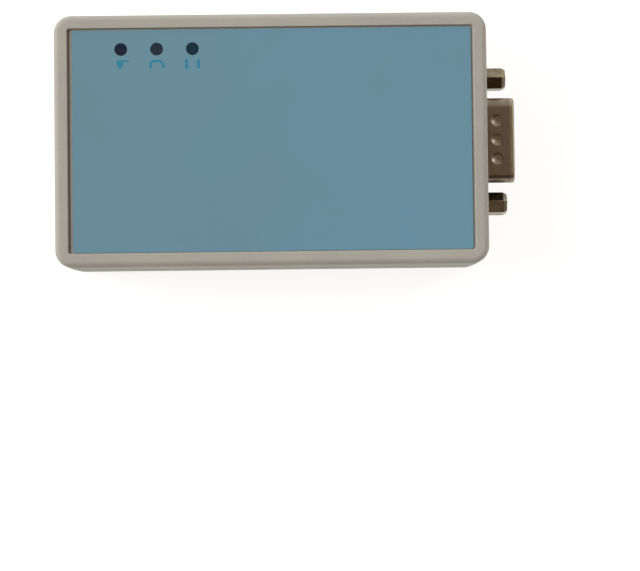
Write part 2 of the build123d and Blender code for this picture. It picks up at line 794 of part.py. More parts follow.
# Lamps: three round lenses under the holes of the roof, on long leads
lamp_top = ceiling - lamp_drop
lamp_base = lamp_top - lamp_height
lamp_names = ["led_power", "led_transmit", "led_receive"]
for name, (x, y) in zip(lamp_names, lamp_places):
    with BuildPart() as lamp:
        with BuildSketch(side_plane(y)):
            with BuildLine():
                Polyline(
                    (x, lamp_top),
                    (x, lamp_base),
                    (x + lamp_rim_radius, lamp_base),
                    (x + lamp_rim_radius, lamp_base + lamp_rim_height),
                    (x + lamp_radius, lamp_base + lamp_rim_height),
                    (x + lamp_radius, lamp_top - lamp_radius),
                )
                CenterArc((x, lamp_top - lamp_radius), lamp_radius, 0, 90)
            make_face()
        revolve(axis=Axis((x, y, 0), (0, 0, 1)))
    lamp.part.label = name
    export_step(lamp.part, f"parts/{name}.step")

with BuildPart() as led_leads:
    with BuildSketch(Plane.XY.offset(tail_bottom)):
        with Locations(*lamp_places):
            with GridLocations(lamp_lead_pitch, 1, 2, 1):
                Rectangle(lamp_lead_width, lamp_lead_width)
    extrude(amount=lamp_base - tail_bottom)
led_leads.part.label = "led_leads"
export_step(led_leads.part, "parts/led_leads.step")


def chip_body(x, y, length, width, height):
    """Moulded chip body with draft above and below its leads, and a dot at its first lead."""
    middle = board_top + chip_stand + height / 2
    with BuildPart() as body:
        for direction in (-1, 1):
            with BuildSketch(Plane(origin=(x, y, middle), x_dir=(1, 0, 0), z_dir=(0, 0, direction))):
                Rectangle(length, width)
            extrude(amount=height / 2, taper=chip_draft)
        with Locations((x - length / 2 + dot_inset, y - width / 2 + dot_inset, middle + height / 2)):
            Hole(dot_radius, depth=dot_depth)
    return body.part


def chip_leads(x, y, width, height, span, count, pitch, lead_width):
    """Gull-wing leads along both long sides of a chip, with their feet flat on the board."""
    middle = board_top + chip_stand + height / 2
    foot = board_top + lead_thickness / 2
    knee = (span - width) * lead_knee / 4
    drop = (span - width) / 4
    with BuildPart() as lead:
        with BuildSketch(Plane.YZ):
            with BuildLine():
                Polyline(
                    (width / 2, middle),
                    (width / 2 + knee, middle),
                    (width / 2 + drop, foot),
                    (span / 2, foot),
                )
            trace(line_width=lead_thickness)
        extrude(amount=lead_width / 2, both=True)
    with BuildPart() as leads:
        for i in range(count // 2):
            place = x + (i - (count // 2 - 1) / 2) * pitch
            with Locations(Location((place, y, 0)), Location((place, y, 0), (0, 0, 180))):
                add(lead.part)
    return leads.part


# Chips
chips = {
    "usb_bridge_chip": chip_body(bridge_x, bridge_y, bridge_length, bridge_width, bridge_height),
    "usb_bridge_leads": chip_leads(
        bridge_x, bridge_y, bridge_width, bridge_height, bridge_span,
        bridge_lead_count, bridge_pitch, bridge_lead_width,
    ),
    "line_driver_chip": chip_body(driver_x, driver_y, driver_length, driver_width, driver_height),
    "line_driver_leads": chip_leads(
        driver_x, driver_y, driver_width, driver_height, driver_span,
        driver_lead_count, driver_pitch, driver_lead_width,
    ),
    "memory_chip": chip_body(memory_x, memory_y, memory_length, driver_width, driver_height),
    "memory_leads": chip_leads(
        memory_x, memory_y, driver_width, driver_height, driver_span,
        memory_lead_count, driver_pitch, driver_lead_width,
    ),
    "voltage_regulator": chip_body(
        regulator_x, regulator_y, regulator_length, regulator_width, regulator_height
    ),
}
for name, part in chips.items():
    part.label = name
    export_step(part, f"parts/{name}.step")

# Regulator leads: three on one side and a wide tab on the other
with BuildPart() as regulator_leads:
    lead_height = board_top + chip_stand + regulator_height / 2
    outer = regulator_span / 2
    inner = regulator_width / 2
    knee = inner + (outer - inner) / 3
    places = [regulator_x + (i - 1) * regulator_pitch for i in range(regulator_lead_count)]
    wings = [(-1, place, regulator_lead_width) for place in places]
    wings.append((1, regulator_x, regulator_tab_width))
    for side, place, wing_width in wings:
        with BuildSketch(Plane.YZ.offset(place)):
            with BuildLine():
                Polyline(
                    (regulator_y + side * inner, lead_height),
                    (regulator_y + side * knee, lead_height),
                    (regulator_y + side * knee, board_top + lead_thickness / 2),
                    (regulator_y + side * outer, board_top + lead_thickness / 2),
                )
            trace(line_width=lead_thickness)
        extrude(amount=wing_width / 2, both=True)
regulator_leads.part.label = "regulator_leads"
export_step(regulator_leads.part, "parts/regulator_leads.step")

# Crystal: an oval can on a base plate, with two leads through the board
with BuildPart() as crystal:
    with BuildSketch(Plane.XY.offset(board_top)):
        with Locations((crystal_x, crystal_y)):
            SlotOverall(crystal_length, crystal_width)
    extrude(amount=crystal_base_height)
    with BuildSketch(Plane.XY.offset(board_top + crystal_base_height)):
        with Locations((crystal_x, crystal_y)):
            SlotOverall(crystal_length - 2 * crystal_base_rim, crystal_width - 2 * crystal_base_rim)
    extrude(amount=crystal_height - crystal_base_height)
    chamfer(crystal.faces().sort_by(Axis.Z)[-1].edges(), can_edge_bevel)
    with BuildSketch(Plane.XY.offset(tail_bottom)):
        with Locations((crystal_x, crystal_y)):
            with GridLocations(crystal_lead_pitch, 1, 2, 1):
                Circle(crystal_lead_radius)
    extrude(amount=board_top - tail_bottom)
crystal.part.label = "crystal"
export_step(crystal.part, "parts/crystal.step")

# Electrolytic capacitor: a moulded base and a can with a rolled groove
can_bottom = board_top + can_base_height
with BuildPart() as capacitor_base:
    with BuildSketch(Plane.XY.offset(board_top)) as base_outline:
        with Locations((can_x, can_y)):
            Rectangle(can_base_width, can_base_width)
        chamfer(base_outline.vertices().group_by(Axis.X)[0], can_base_bevel)
    extrude(amount=can_base_height)
capacitor_base.part.label = "capacitor_base"
export_step(capacitor_base.part, "parts/capacitor_base.step")

with BuildPart() as capacitor_can:
    can_top = can_bottom + can_height
    groove = can_bottom + can_groove_height
    with BuildSketch(side_plane(can_y)):
        with BuildLine():
            Polyline(
                (can_x, can_bottom),
                (can_x + can_radius, can_bottom),
                (can_x + can_radius, groove - can_groove_depth),
                (can_x + can_radius - can_groove_depth, groove),
                (can_x + can_radius, groove + can_groove_depth),
                (can_x + can_radius, can_top - can_edge_bevel),
                (can_x + can_radius - can_edge_bevel, can_top),
                (can_x, can_top),
                close=True,
            )
        make_face()
    revolve(axis=Axis((can_x, can_y, 0), (0, 0, 1)))
capacitor_can.part.label = "capacitor_can"
export_step(capacitor_can.part, "parts/capacitor_can.step")


def chip_parts(length, width, height, places):
    """Two-terminal chip components on the board, each with end caps a little larger than its middle."""
    cap_length = length * end_cap_share
    middle_width = width - 2 * end_cap_step
    on_board = (Align.CENTER, Align.CENTER, Align.MIN)
    with BuildPart() as body:
        Box(length - 2 * cap_length, middle_width, height - end_cap_step, align=on_board)
        with GridLocations(length - cap_length, 1, 2, 1):
            Box(cap_length, width, height, align=on_board)
    with BuildPart() as group:
        for x, y, turn in places:
            with Locations(Location((x, y, board_top), (0, 0, turn))):
                add(body.part)
    return group.part


# Small components, each set beside the chip that it serves
beside_driver = driver_x - driver_length / 2 - component_gap - capacitor_width / 2
along_driver = driver_span / 2 + component_gap + capacitor_width / 2
along_bridge = bridge_span / 2 + component_gap + capacitor_width / 2
beside_regulator = regulator_length / 2 + component_gap + capacitor_width / 2
half_pair = (capacitor_length + component_gap) / 2
capacitor_places = [
    (beside_driver, driver_y + half_pair, 90),
    (beside_driver, driver_y - half_pair, 90),
    (driver_x - half_pair, driver_y + along_driver, 0),
    (driver_x + half_pair, driver_y + along_driver, 0),
    (driver_x, driver_y - along_driver, 0),
    (bridge_x - half_pair, bridge_y + along_bridge, 0),
    (bridge_x + half_pair, bridge_y + along_bridge, 0),
    (regulator_x + beside_regulator, regulator_y, 90),
    (regulator_x - beside_regulator, regulator_y, 90),
]
beside_bridge = bridge_x - bridge_length / 2 - component_gap - resistor_length / 2
beside_memory = memory_x - memory_length / 2 - component_gap - resistor_length / 2
half_stack = (resistor_width + component_gap) / 2
resistor_places = [(x + lamp_pitch / 2, y, 0) for x, y in lamp_places]
resistor_places += [(beside_bridge, bridge_y + side * half_stack, 0) for side in (-1, 1)]
resistor_places += [(beside_memory, memory_y + side * half_stack, 0) for side in (-1, 1)]
small_parts = {
    "ceramic_capacitors": chip_parts(capacitor_length, capacitor_width, capacitor_height, capacitor_places),
    "chip_resistors": chip_parts(resistor_length, resistor_width, resistor_height, resistor_places),
    "ferrite_bead": chip_parts(bead_length, bead_width, bead_height, [(bead_x, bead_y, 0)]),
    "resettable_fuse": chip_parts(fuse_length, fuse_width, fuse_height, [(fuse_x, fuse_y, 0)]),
}
for name, part in small_parts.items():
    part.label = name
    export_step(part, f"parts/{name}.step")
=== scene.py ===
"""Looks of the USB to serial adapter module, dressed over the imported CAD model.

Metres, in the CAD frame: +X to the serial connector, +Y across the case to the side with the lamps, +Z up
through the label, and the desk at z = 0. The moulded case, the label and both connectors are smooth copies of
the CAD solids with their real finishes. Threads, solder joints and chip components are repeated by Geometry
Nodes on points read from the CAD solids.
"""

import logging
import math
from dataclasses import dataclass
from enum import Enum
from typing import Sequence

import bmesh
import bpy
from mathutils import Matrix, Vector

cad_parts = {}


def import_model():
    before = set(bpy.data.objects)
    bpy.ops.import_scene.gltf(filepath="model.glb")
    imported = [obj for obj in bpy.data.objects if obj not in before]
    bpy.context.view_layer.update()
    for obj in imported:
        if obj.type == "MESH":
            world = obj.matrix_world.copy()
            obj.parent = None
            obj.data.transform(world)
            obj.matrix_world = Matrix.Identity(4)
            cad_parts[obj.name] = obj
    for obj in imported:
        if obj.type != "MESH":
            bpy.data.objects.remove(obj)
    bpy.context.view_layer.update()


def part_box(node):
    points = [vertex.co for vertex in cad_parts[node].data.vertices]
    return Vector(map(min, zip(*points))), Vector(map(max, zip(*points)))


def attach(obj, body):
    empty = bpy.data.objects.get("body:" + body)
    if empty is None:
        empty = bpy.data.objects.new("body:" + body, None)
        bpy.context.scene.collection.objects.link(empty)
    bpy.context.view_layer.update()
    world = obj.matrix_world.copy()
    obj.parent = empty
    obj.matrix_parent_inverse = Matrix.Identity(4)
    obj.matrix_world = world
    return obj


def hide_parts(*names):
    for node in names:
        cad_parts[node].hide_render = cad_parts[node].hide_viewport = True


MM = 0.001
BODY = "root"
LOG = logging.getLogger("adapter_module")

# a point of a flat outline or of a profile, in millimetres
Flat = tuple[float, float]

# Blender's names for the kinds of node used most, and the three sockets of a node that mixes colours
NOISE = "ShaderNodeTexNoise"
RANGE = "ShaderNodeMapRange"
MIX = "ShaderNodeMix"
MATH = "ShaderNodeMath"
VECTOR = "ShaderNodeVectorMath"
SPLIT = "ShaderNodeSeparateXYZ"
BUMP = "ShaderNodeBump"
SHARE, FROM, TO = 0, 6, 7

# nearly all values of a noise lie between these two
NOISE_LOW, NOISE_HIGH = 0.3, 0.7

# points nearer to each other than this are one point of a CAD mesh, and of a turned one
DOUBLES = 0.001 * MM
TURNED_DOUBLES = 0.0005 * MM

# flat neighbours of a CAD mesh are joined below this angle
FLAT_DEG = 0.5

# an edge stays sharp from this much further on a piece with broken edges, so that its bevels shade smooth
BEVEL_DEG = 14.0


class Slot(str, Enum):
    """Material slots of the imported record."""

    CASE = "case_plastic"
    LABEL = "label_film"
    CONNECTOR = "connector_steel"
    JACKSCREW = "jackscrew_metal"
    BRACKET = "bracket_steel"
    BLACK = "black_insulator"
    WHITE = "white_insulator"
    GOLD = "gold_contact"
    BOARD = "board_laminate"
    CHIP = "chip_mould"
    LEAD = "tinned_lead"
    SCREW = "screw_steel"
    CAN = "can_aluminium"
    RED = "red_lens"
    GREEN = "green_lens"
    CAPACITOR = "capacitor_ceramic"
    RESISTOR = "resistor_ceramic"
    FERRITE = "ferrite"
    FUSE = "fuse_body"


class Grain(Enum):
    """Way in which a metal was worked: how far its marks are drawn out along X, Y and Z."""

    ROLLED_X = (0.06, 1.0, 1.0)
    ROLLED_Y = (1.0, 0.06, 1.0)
    PLATED = (1.0, 1.0, 1.0)


def mm(*values: float) -> Vector:
    """Give a point or a size in metres from millimetres."""
    return Vector(values) * MM


def scale_for(width_mm: float) -> float:
    """Give the scale at which a pattern's features are this wide."""
    return 1 / (width_mm * MM)


def linear(hex_colour: str) -> tuple[float, float, float, float]:
    """Turn an sRGB colour into the linear one that shaders take.

    Args:
        hex_colour: six hex digits, such as "A39F92".

    Returns:
        Linear red, green and blue, with an alpha of 1.
    """
    parts = [int(hex_colour[i:i + 2], 16) / 255 for i in (0, 2, 4)]
    red, green, blue = (v / 12.92 if v <= 0.04045 else ((v + 0.055) / 1.055) ** 2.4 for v in parts)
    return red, green, blue, 1.0


def add_node(
    tree: bpy.types.NodeTree, kind: str, inputs: dict[str | int, object] | None = None, **settings: object
) -> bpy.types.Node:
    """Add one node with its settings, its values and its links.

    Args:
        tree: node tree of a material, the world or a modifier.
        kind: Blender's name for the type of node.
        inputs: for each input's name or number a value, an output to link, or a node, whose first output in
            use is linked.
        settings: the node's own settings, such as its operation.

    Returns:
        The new node.
    """
    node = tree.nodes.new(kind)
    for name, value in settings.items():
        setattr(node, name, value)
    for name, value in (inputs or {}).items():
        if isinstance(value, bpy.types.Node):
            value = next(output for output in value.outputs if output.enabled)
        if isinstance(value, bpy.types.NodeSocket):
            tree.links.new(value, node.inputs[name])
        else:
            node.inputs[name].default_value = value
    return node


@dataclass(frozen=True)
class Finish:
    """What every finish has: a name, a main colour and a roughness.

    Attributes:
        name: name of the material.
        colour: main sRGB colour.
        roughness: middle roughness of the surface.
    """

    name: str
    colour: str
    roughness: float

    def material(self) -> bpy.types.Material:
        """Make the material when it is first asked for.

        Returns:
            The one material of this finish.
        """
        made = bpy.data.materials.get(self.name)
        if made is None:
            made = bpy.data.materials.new(self.name)
            made.use_nodes = True
            made.diffuse_color = linear(self.colour)
            tree = made.node_tree
            tree.nodes.clear()
            place = add_node(tree, "ShaderNodeTexCoord").outputs["Object"]
            shader = add_node(tree, "ShaderNodeBsdfPrincipled", self.dress(tree, place))
            add_node(tree, "ShaderNodeOutputMaterial", {"Surface": shader})
        return made

    def dress(self, tree: bpy.types.NodeTree, place: bpy.types.NodeSocket) -> dict[str, object]:
        """Add this finish's own nodes.

        Args:
            tree: node tree of the material.
            place: object coordinates, in metres.

        Returns:
            What goes into the shader's sockets.
        """
        raise NotImplementedError


@dataclass(frozen=True)
class MouldedPlastic(Finish):
    """ABS or nylon from a spark-eroded mould: no gloss, a fine even grain, and faint clouds along the flow.

    Attributes:
        shade: sRGB colour of the clouds.
        grain_mm: width of one grain of the mould's texture.
        depth_mm: height of that grain.
        cloud_mm: width of a cloud of colour.
        sheen: share of the mirror-like reflection that the grain leaves, 0.5 on a polished face.
        groove_shadow: sRGB colour of a painted shadow in a groove, or an empty text for none.
        groove_shadow_mm: width over which the painted shadow ends.
        groove_middle: middle of that groove, in millimetres.
        groove_half: half its length, width and height.
    """

    shade: str = "000000"
    grain_mm: float = 0.22
    depth_mm: float = 0.012
    cloud_mm: float = 16.0
    sheen: float = 0.4
    groove_shadow: str = ""
    groove_shadow_mm: float = 0.1
    groove_middle: tuple[float, float, float] = (0.0, 0.0, 0.0)
    groove_half: tuple[float, float, float] = (0.0, 0.0, 0.0)

    def dress(self, tree: bpy.types.NodeTree, place: bpy.types.NodeSocket) -> dict[str, object]:
        """Add clouds of colour, the grain and its uneven gloss, and a painted shadow where there is a groove.

        Args:
            tree: node tree of the material.
            place: object coordinates, in metres.

        Returns:
            What goes into the shader's sockets.
        """
        clouds = add_node(tree, NOISE, {"Vector": place, "Scale": scale_for(self.cloud_mm), "Detail": 3.0})
        grain = add_node(tree, NOISE, {"Vector": place, "Scale": scale_for(self.grain_mm), "Detail": 2.0})
        # the pits of the grain hold a little dust, so they are as dark as the clouds
        depth = add_node(tree, MATH, {0: clouds, 1: grain}, operation="MULTIPLY")
        share = add_node(tree, RANGE, {"Value": depth, "From Min": 0.12, "From Max": 0.4})
        shades = {SHARE: share, FROM: linear(self.shade), TO: linear(self.colour)}
        tone = add_node(tree, MIX, shades, data_type="RGBA")
        # a painted shadow darkens the groove, standing for the shade that its rim casts
        if self.groove_shadow:
            shadowed = {SHARE: self.groove_shadow_share(tree, place), FROM: tone, TO: linear(self.groove_shadow)}
            tone = add_node(tree, MIX, shadowed, data_type="RGBA")
        worn, fresh = self.roughness + 0.08, self.roughness - 0.06
        swing = {"From Min": NOISE_LOW, "From Max": NOISE_HIGH, "To Min": worn, "To Max": fresh}
        gloss = add_node(tree, RANGE, {"Value": grain, **swing})
        bump = add_node(tree, BUMP, {"Height": grain, "Strength": 0.5, "Distance": self.depth_mm * MM})
        skin = {"IOR": 1.53, "Specular IOR Level": self.sheen}
        return {"Base Color": tone, "Roughness": gloss, "Normal": bump, **skin}

    def groove_shadow_share(self, tree: bpy.types.NodeTree, place: bpy.types.NodeSocket) -> bpy.types.Node:
        """Find where the groove's painted shadow lies, with a soft end all round.

        Args:
            tree: node tree of the material.
            place: object coordinates, in metres.

        Returns:
            The node that gives 1 in the groove and 0 away from it.
        """
        away = add_node(tree, VECTOR, {0: place, 1: mm(*self.groove_middle)}, operation="SUBTRACT")
        apart = add_node(tree, VECTOR, {0: away}, operation="ABSOLUTE")
        beyond = add_node(tree, VECTOR, {0: apart, 1: mm(*self.groove_half)}, operation="SUBTRACT")
        outside = add_node(tree, VECTOR, {0: beyond, 1: (0.0, 0.0, 0.0)}, operation="MAXIMUM")
        gap = add_node(tree, VECTOR, {0: outside}, operation="LENGTH")
        ends = {"From Max": self.groove_shadow_mm * MM, "To Min": 1.0, "To Max": 0.0}
        return add_node(tree, RANGE, {"Value": gap, **ends})


@dataclass(frozen=True)
class PrintedFilm(Finish):
    """Polyester overlay printed on its back: a velvet coat in front of an even ink, laid on by hand.

    Attributes:
        cool: sRGB colour towards which the ink drifts.
        drift_mm: width of the drift of the ink.
        half_mm: half the length over which the ink turns cooler.
        lean: how far it does so at each end, as a share.
        velvet_mm: width of one grain of the velvet coat.
        wave_mm: width of the film's own shallow waves.
        sheen: share of the mirror-like reflection that the velvet leaves, 0.5 on a glossy film.
    """

    cool: str = "000000"
    drift_mm: float = 30.0
    half_mm: float = 40.0
    lean: float = 0.2
    velvet_mm: float = 0.18
    wave_mm: float = 11.0
    sheen: float = 0.18

    def dress(self, tree: bpy.types.NodeTree, place: bpy.types.NodeSocket) -> dict[str, object]:
        """Add the drift of the ink, the velvet coat and the film's waves.

        Args:
            tree: node tree of the material.
            place: object coordinates, in metres.

        Returns:
            What goes into the shader's sockets.
        """
        along = add_node(tree, SPLIT, {"Vector": place}).outputs["X"]
        drift = add_node(tree, NOISE, {"Vector": place, "Scale": scale_for(self.drift_mm), "Detail": 4.0})
        # the ink turns cooler towards the serial end, by a little
        half = self.half_mm * MM
        ends = {"From Min": -half, "From Max": half, "To Min": -self.lean, "To Max": self.lean}
        cooler = add_node(tree, RANGE, {"Value": along, **ends})
        share = add_node(tree, MATH, {0: drift, 1: cooler}, operation="ADD", use_clamp=True)
        inks = {SHARE: share, FROM: linear(self.colour), TO: linear(self.cool)}
        ink = add_node(tree, MIX, inks, data_type="RGBA")
        velvet = add_node(tree, NOISE, {"Vector": place, "Scale": scale_for(self.velvet_mm), "Detail": 1.0})
        smooth, rough = self.roughness - 0.05, self.roughness + 0.05
        swing = {"From Min": NOISE_LOW, "From Max": NOISE_HIGH, "To Min": smooth, "To Max": rough}
        gloss = add_node(tree, RANGE, {"Value": velvet, **swing})
        wave = add_node(tree, NOISE, {"Vector": place, "Scale": scale_for(self.wave_mm), "Detail": 1.0})
        lie = add_node(tree, BUMP, {"Height": wave, "Strength": 0.25, "Distance": 0.03 * MM})
        relief = {"Height": velvet, "Strength": 0.3, "Distance": 0.006 * MM}
        bump = add_node(tree, BUMP, {"Normal": lie, **relief})
        skin = {"IOR": 1.57, "Specular IOR Level": self.sheen}
        return {"Base Color": ink, "Roughness": gloss, "Normal": bump, **skin}


@dataclass(frozen=True)
class PlatedMetal(Finish):
    """Metal with a thin plating: its reflections are broken by rolling or turning marks and a light tarnish.

    Attributes:
        tarnish: sRGB colour of the tarnished spots.
        grain: way in which the metal was worked.
        mark_mm: width of one rolling mark.
        spot_mm: width of a tarnished spot.
        depth_mm: depth of the marks.
        spread: how far the roughness swings to each side of its middle.
        rub_highlight: sRGB colour of the front end, which plugs rub and which holds a painted highlight of
            the rolled rim, or an empty text for none.
        rub_highlight_mm: place along X where the rubbing and the painted highlight begin.
        full_rub_highlight_mm: distance from there to where they are full.
    """

    tarnish: str = "000000"
    grain: Grain = Grain.PLATED
    mark_mm: float = 0.12
    spot_mm: float = 1.6
    depth_mm: float = 0.004
    spread: float = 0.1
    rub_highlight: str = ""
    rub_highlight_mm: float = 0.0
    full_rub_highlight_mm: float = 0.25

    def dress(self, tree: bpy.types.NodeTree, place: bpy.types.NodeSocket) -> dict[str, object]:
        """Add the tarnish, the marks, the roughness that follows both, and the rubbed end with its painted
        highlight.

        Args:
            tree: node tree of the material.
            place: object coordinates, in metres.

        Returns:
            What goes into the shader's sockets.
        """
        spots = add_node(tree, NOISE, {"Vector": place, "Scale": scale_for(self.spot_mm), "Detail": 4.0})
        drawn = add_node(tree, "ShaderNodeMapping", {"Vector": place, "Scale": self.grain.value})
        marks = add_node(tree, NOISE, {"Vector": drawn, "Scale": scale_for(self.mark_mm), "Detail": 3.0})
        share = add_node(tree, RANGE, {"Value": spots, "From Min": 0.35, "From Max": NOISE_HIGH})
        tones = {SHARE: share, FROM: linear(self.colour), TO: linear(self.tarnish)}
        tone = add_node(tree, MIX, tones, data_type="RGBA")
        # the front end turns lighter: rubbed plating, and a painted highlight along the rolled rim
        if self.rub_highlight:
            along = add_node(tree, SPLIT, {"Vector": place}).outputs["X"]
            ends = {"From Min": self.rub_highlight_mm * MM, "From Max": (self.rub_highlight_mm + self.full_rub_highlight_mm) * MM}
            rub_highlight_share = add_node(tree, RANGE, {"Value": along, **ends}, interpolation_type="SMOOTHSTEP")
            tone = add_node(tree, MIX, {SHARE: rub_highlight_share, FROM: tone, TO: linear(self.rub_highlight)}, data_type="RGBA")
        both = add_node(tree, MATH, {0: spots, 1: marks}, operation="ADD")
        smooth, rough = self.roughness - self.spread, self.roughness + self.spread
        swing = {"From Min": 0.7, "From Max": 1.3, "To Min": smooth, "To Max": rough}
        gloss = add_node(tree, RANGE, {"Value": both, **swing})
        bump = add_node(tree, BUMP, {"Height": marks, "Strength": 0.4, "Distance": self.depth_mm * MM})
        return {"Base Color": tone, "Roughness": gloss, "Normal": bump, "Metallic": 1.0}


@dataclass(frozen=True)
class CastEpoxy(Finish):
    """Clear epoxy cast with a dye, as a lamp's lens: light goes into it and little comes out while it is off.

    Attributes:
        deep: sRGB colour at the lens's foot, where the dye is thickest.
        foot_mm: height of the foot above the desk.
        top_mm: height of the dome above the desk.
        streak_mm: width of a streak from casting.
    """

    deep: str = "000000"
    foot_mm: float = 12.9
    top_mm: float = 18.2
    streak_mm: float = 0.8

    def dress(self, tree: bpy.types.NodeTree, place: bpy.types.NodeSocket) -> dict[str, object]:
        """Add the dye, deeper towards the foot, and fine streaks from casting.

        Args:
            tree: node tree of the material.
            place: object coordinates, in metres.

        Returns:
            What goes into the shader's sockets.
        """
        height = add_node(tree, SPLIT, {"Vector": place}).outputs["Z"]
        streaks = add_node(tree, NOISE, {"Vector": place, "Scale": scale_for(self.streak_mm), "Detail": 2.0})
        ends = {"From Min": self.foot_mm * MM, "From Max": self.top_mm * MM}
        rise = add_node(tree, RANGE, {"Value": height, **ends})
        share = add_node(tree, MATH, {0: rise, 1: streaks}, operation="MULTIPLY")
        dyes = {SHARE: share, FROM: linear(self.deep), TO: linear(self.colour)}
        dye = add_node(tree, MIX, dyes, data_type="RGBA")
        return {"Base Color": dye, "Roughness": self.roughness, "IOR": 1.52, "Transmission Weight": 0.55}


@dataclass(frozen=True)
class SolderMask(Finish):
    """Glass-epoxy laminate under a green solder mask: etched copper shows through it as paler strips.

    Attributes:
        gap: sRGB colour between the tracks, where the mask lies on the laminate.
        laminate: sRGB colour of the routed edges.
        track_mm: distance from one track to the next.
        gap_mm: width of the gap between two tracks.
        run_mm: length of a run before it turns away.
        weave_mm: width of a glass thread at the routed edges.
        copper_mm: how far a track stands up under the mask.
    """

    gap: str = "000000"
    laminate: str = "B9AE7C"
    track_mm: float = 0.62
    gap_mm: float = 0.24
    run_mm: float = 7.5
    weave_mm: float = 0.5
    copper_mm: float = 0.035

    def dress(self, tree: bpy.types.NodeTree, place: bpy.types.NodeSocket) -> dict[str, object]:
        """Add the tracks on both faces and bare laminate on the routed edges.

        Args:
            tree: node tree of the material.
            place: object coordinates, in metres.

        Returns:
            What goes into the shader's sockets.
        """
        colours = {"Color1": linear(self.colour), "Color2": linear(self.gap), "Mortar": linear(self.gap)}
        widths = {"Mortar Size": self.gap_mm / 2, "Brick Width": self.run_mm, "Row Height": self.track_mm}
        layout = {"Vector": place, "Scale": 1 / MM, "Bias": -0.3, **colours, **widths}
        tracks = add_node(tree, "ShaderNodeTexBrick", layout, offset=0.37)
        facing = add_node(tree, "ShaderNodeNewGeometry").outputs["True Normal"]
        turned = add_node(tree, SPLIT, {"Vector": facing}).outputs["Z"]
        upright = add_node(tree, MATH, {0: turned}, operation="ABSOLUTE")
        masked = add_node(tree, MATH, {0: upright, 1: 0.5}, operation="GREATER_THAN")
        weave = add_node(tree, NOISE, {"Vector": place, "Scale": scale_for(self.weave_mm), "Detail": 2.0})
        threads = {SHARE: weave, FROM: linear(self.laminate), TO: linear(self.gap)}
        edge = add_node(tree, MIX, threads, data_type="RGBA")
        tone = add_node(tree, MIX, {SHARE: masked, FROM: edge, TO: tracks}, data_type="RGBA")
        relief = {"Height": tracks.outputs["Fac"], "Strength": 0.5, "Distance": -self.copper_mm * MM}
        bump = add_node(tree, BUMP, relief)
        coat = {"Coat Weight": 0.4, "Coat Roughness": 0.15}
        return {"Base Color": tone, "Normal": bump, "Roughness": self.roughness, **coat}


@dataclass(frozen=True)
class FilledCompound(Finish):
    """Powder-filled epoxy or fired ceramic: dull and even, with grains of filler at its skin.

    Attributes:
        fleck: sRGB colour of the grains.
        fleck_mm: width of one grain, drawn coarser than the real 0.05 mm so that it shows.
        depth_mm: height of the grains.
        haze_mm: width of a patch with more grains.
    """

    fleck: str = "000000"
    fleck_mm: float = 0.14
    depth_mm: float = 0.006
    haze_mm: float = 1.5

    def dress(self, tree: bpy.types.NodeTree, place: bpy.types.NodeSocket) -> dict[str, object]:
        """Add the grains, their colour and their slight relief.

        Args:
            tree: node tree of the material.
            place: object coordinates, in metres.

        Returns:
            What goes into the shader's sockets.
        """
        grains = add_node(tree, "ShaderNodeTexVoronoi", {"Vector": place, "Scale": scale_for(self.fleck_mm)})
        haze = add_node(tree, NOISE, {"Vector": place, "Scale": scale_for(self.haze_mm), "Detail": 2.0})
        share = add_node(tree, MATH, {0: grains, 1: haze}, operation="MULTIPLY")
        flecks = {SHARE: share, FROM: linear(self.colour), TO: linear(self.fleck)}
        tone = add_node(tree, MIX, flecks, data_type="RGBA")
        bump = add_node(tree, BUMP, {"Height": grains, "Strength": 0.4, "Distance": self.depth_mm * MM})
        return {"Base Color": tone, "Normal": bump, "Roughness": self.roughness}


@dataclass(frozen=True)
class ScreenInk(Finish):
    """Screen-printed ink on the film: a matt skin that is thinner where the mesh lifted.

    Attributes:
        thin: sRGB colour where the ink is thin.
        patch_mm: width of a thin patch.
        mesh_mm: spacing of the screen's threads.
        sheen: share of the mirror-like reflection that the matt ink keeps.
    """

    thin: str = "000000"
    patch_mm: float = 0.7
    mesh_mm: float = 0.16
    sheen: float = 0.16

    def dress(self, tree: bpy.types.NodeTree, place: bpy.types.NodeSocket) -> dict[str, object]:
        """Add the uneven thickness of the ink and the trace of the screen.

        Args:
            tree: node tree of the material.
            place: object coordinates, in metres.

        Returns:
            What goes into the shader's sockets.
        """
        thickness = add_node(tree, NOISE, {"Vector": place, "Scale": scale_for(self.patch_mm), "Detail": 3.0})
        inks = {SHARE: thickness, FROM: linear(self.colour), TO: linear(self.thin)}
        tone = add_node(tree, MIX, inks, data_type="RGBA")
        threads = add_node(tree, NOISE, {"Vector": place, "Scale": scale_for(self.mesh_mm), "Detail": 1.0})
        bump = add_node(tree, BUMP, {"Height": threads, "Strength": 0.2, "Distance": 0.005 * MM})
        gloss = {"Roughness": self.roughness, "Specular IOR Level": self.sheen}
        return {"Base Color": tone, "Normal": bump, **gloss}


@dataclass(frozen=True)
class SmokedWindow(Finish):
    """Clear window left in the film's print and tinted with see-through ink: a dark pane over an unlit lamp.

    Attributes:
        glow: sRGB colour of the lens that shows faintly through the tint.
        cloud_mm: width of a cloud in the tint.
        sheen: share of the mirror-like reflection that the film's velvet leaves.
    """

    glow: str = "000000"
    cloud_mm: float = 1.4
    sheen: float = 0.12

    def dress(self, tree: bpy.types.NodeTree, place: bpy.types.NodeSocket) -> dict[str, object]:
        """Add the faint lens behind the tint and the tint's uneven gloss.

        Args:
            tree: node tree of the material.
            place: object coordinates, in metres.

        Returns:
            What goes into the shader's sockets.
        """
        clouds = add_node(tree, NOISE, {"Vector": place, "Scale": scale_for(self.cloud_mm), "Detail": 2.0})
        share = add_node(tree, RANGE, {"Value": clouds, "From Min": 0.35, "From Max": 0.65})
        tints = {SHARE: share, FROM: linear(self.colour), TO: linear(self.glow)}
        tone = add_node(tree, MIX, tints, data_type="RGBA")
        smooth, rough = self.roughness - 0.04, self.roughness + 0.04
        gloss = add_node(tree, RANGE, {"Value": clouds, "To Min": smooth, "To Max": rough})
        return {"Base Color": tone, "Roughness": gloss, "IOR": 1.57, "Specular IOR Level": self.sheen}


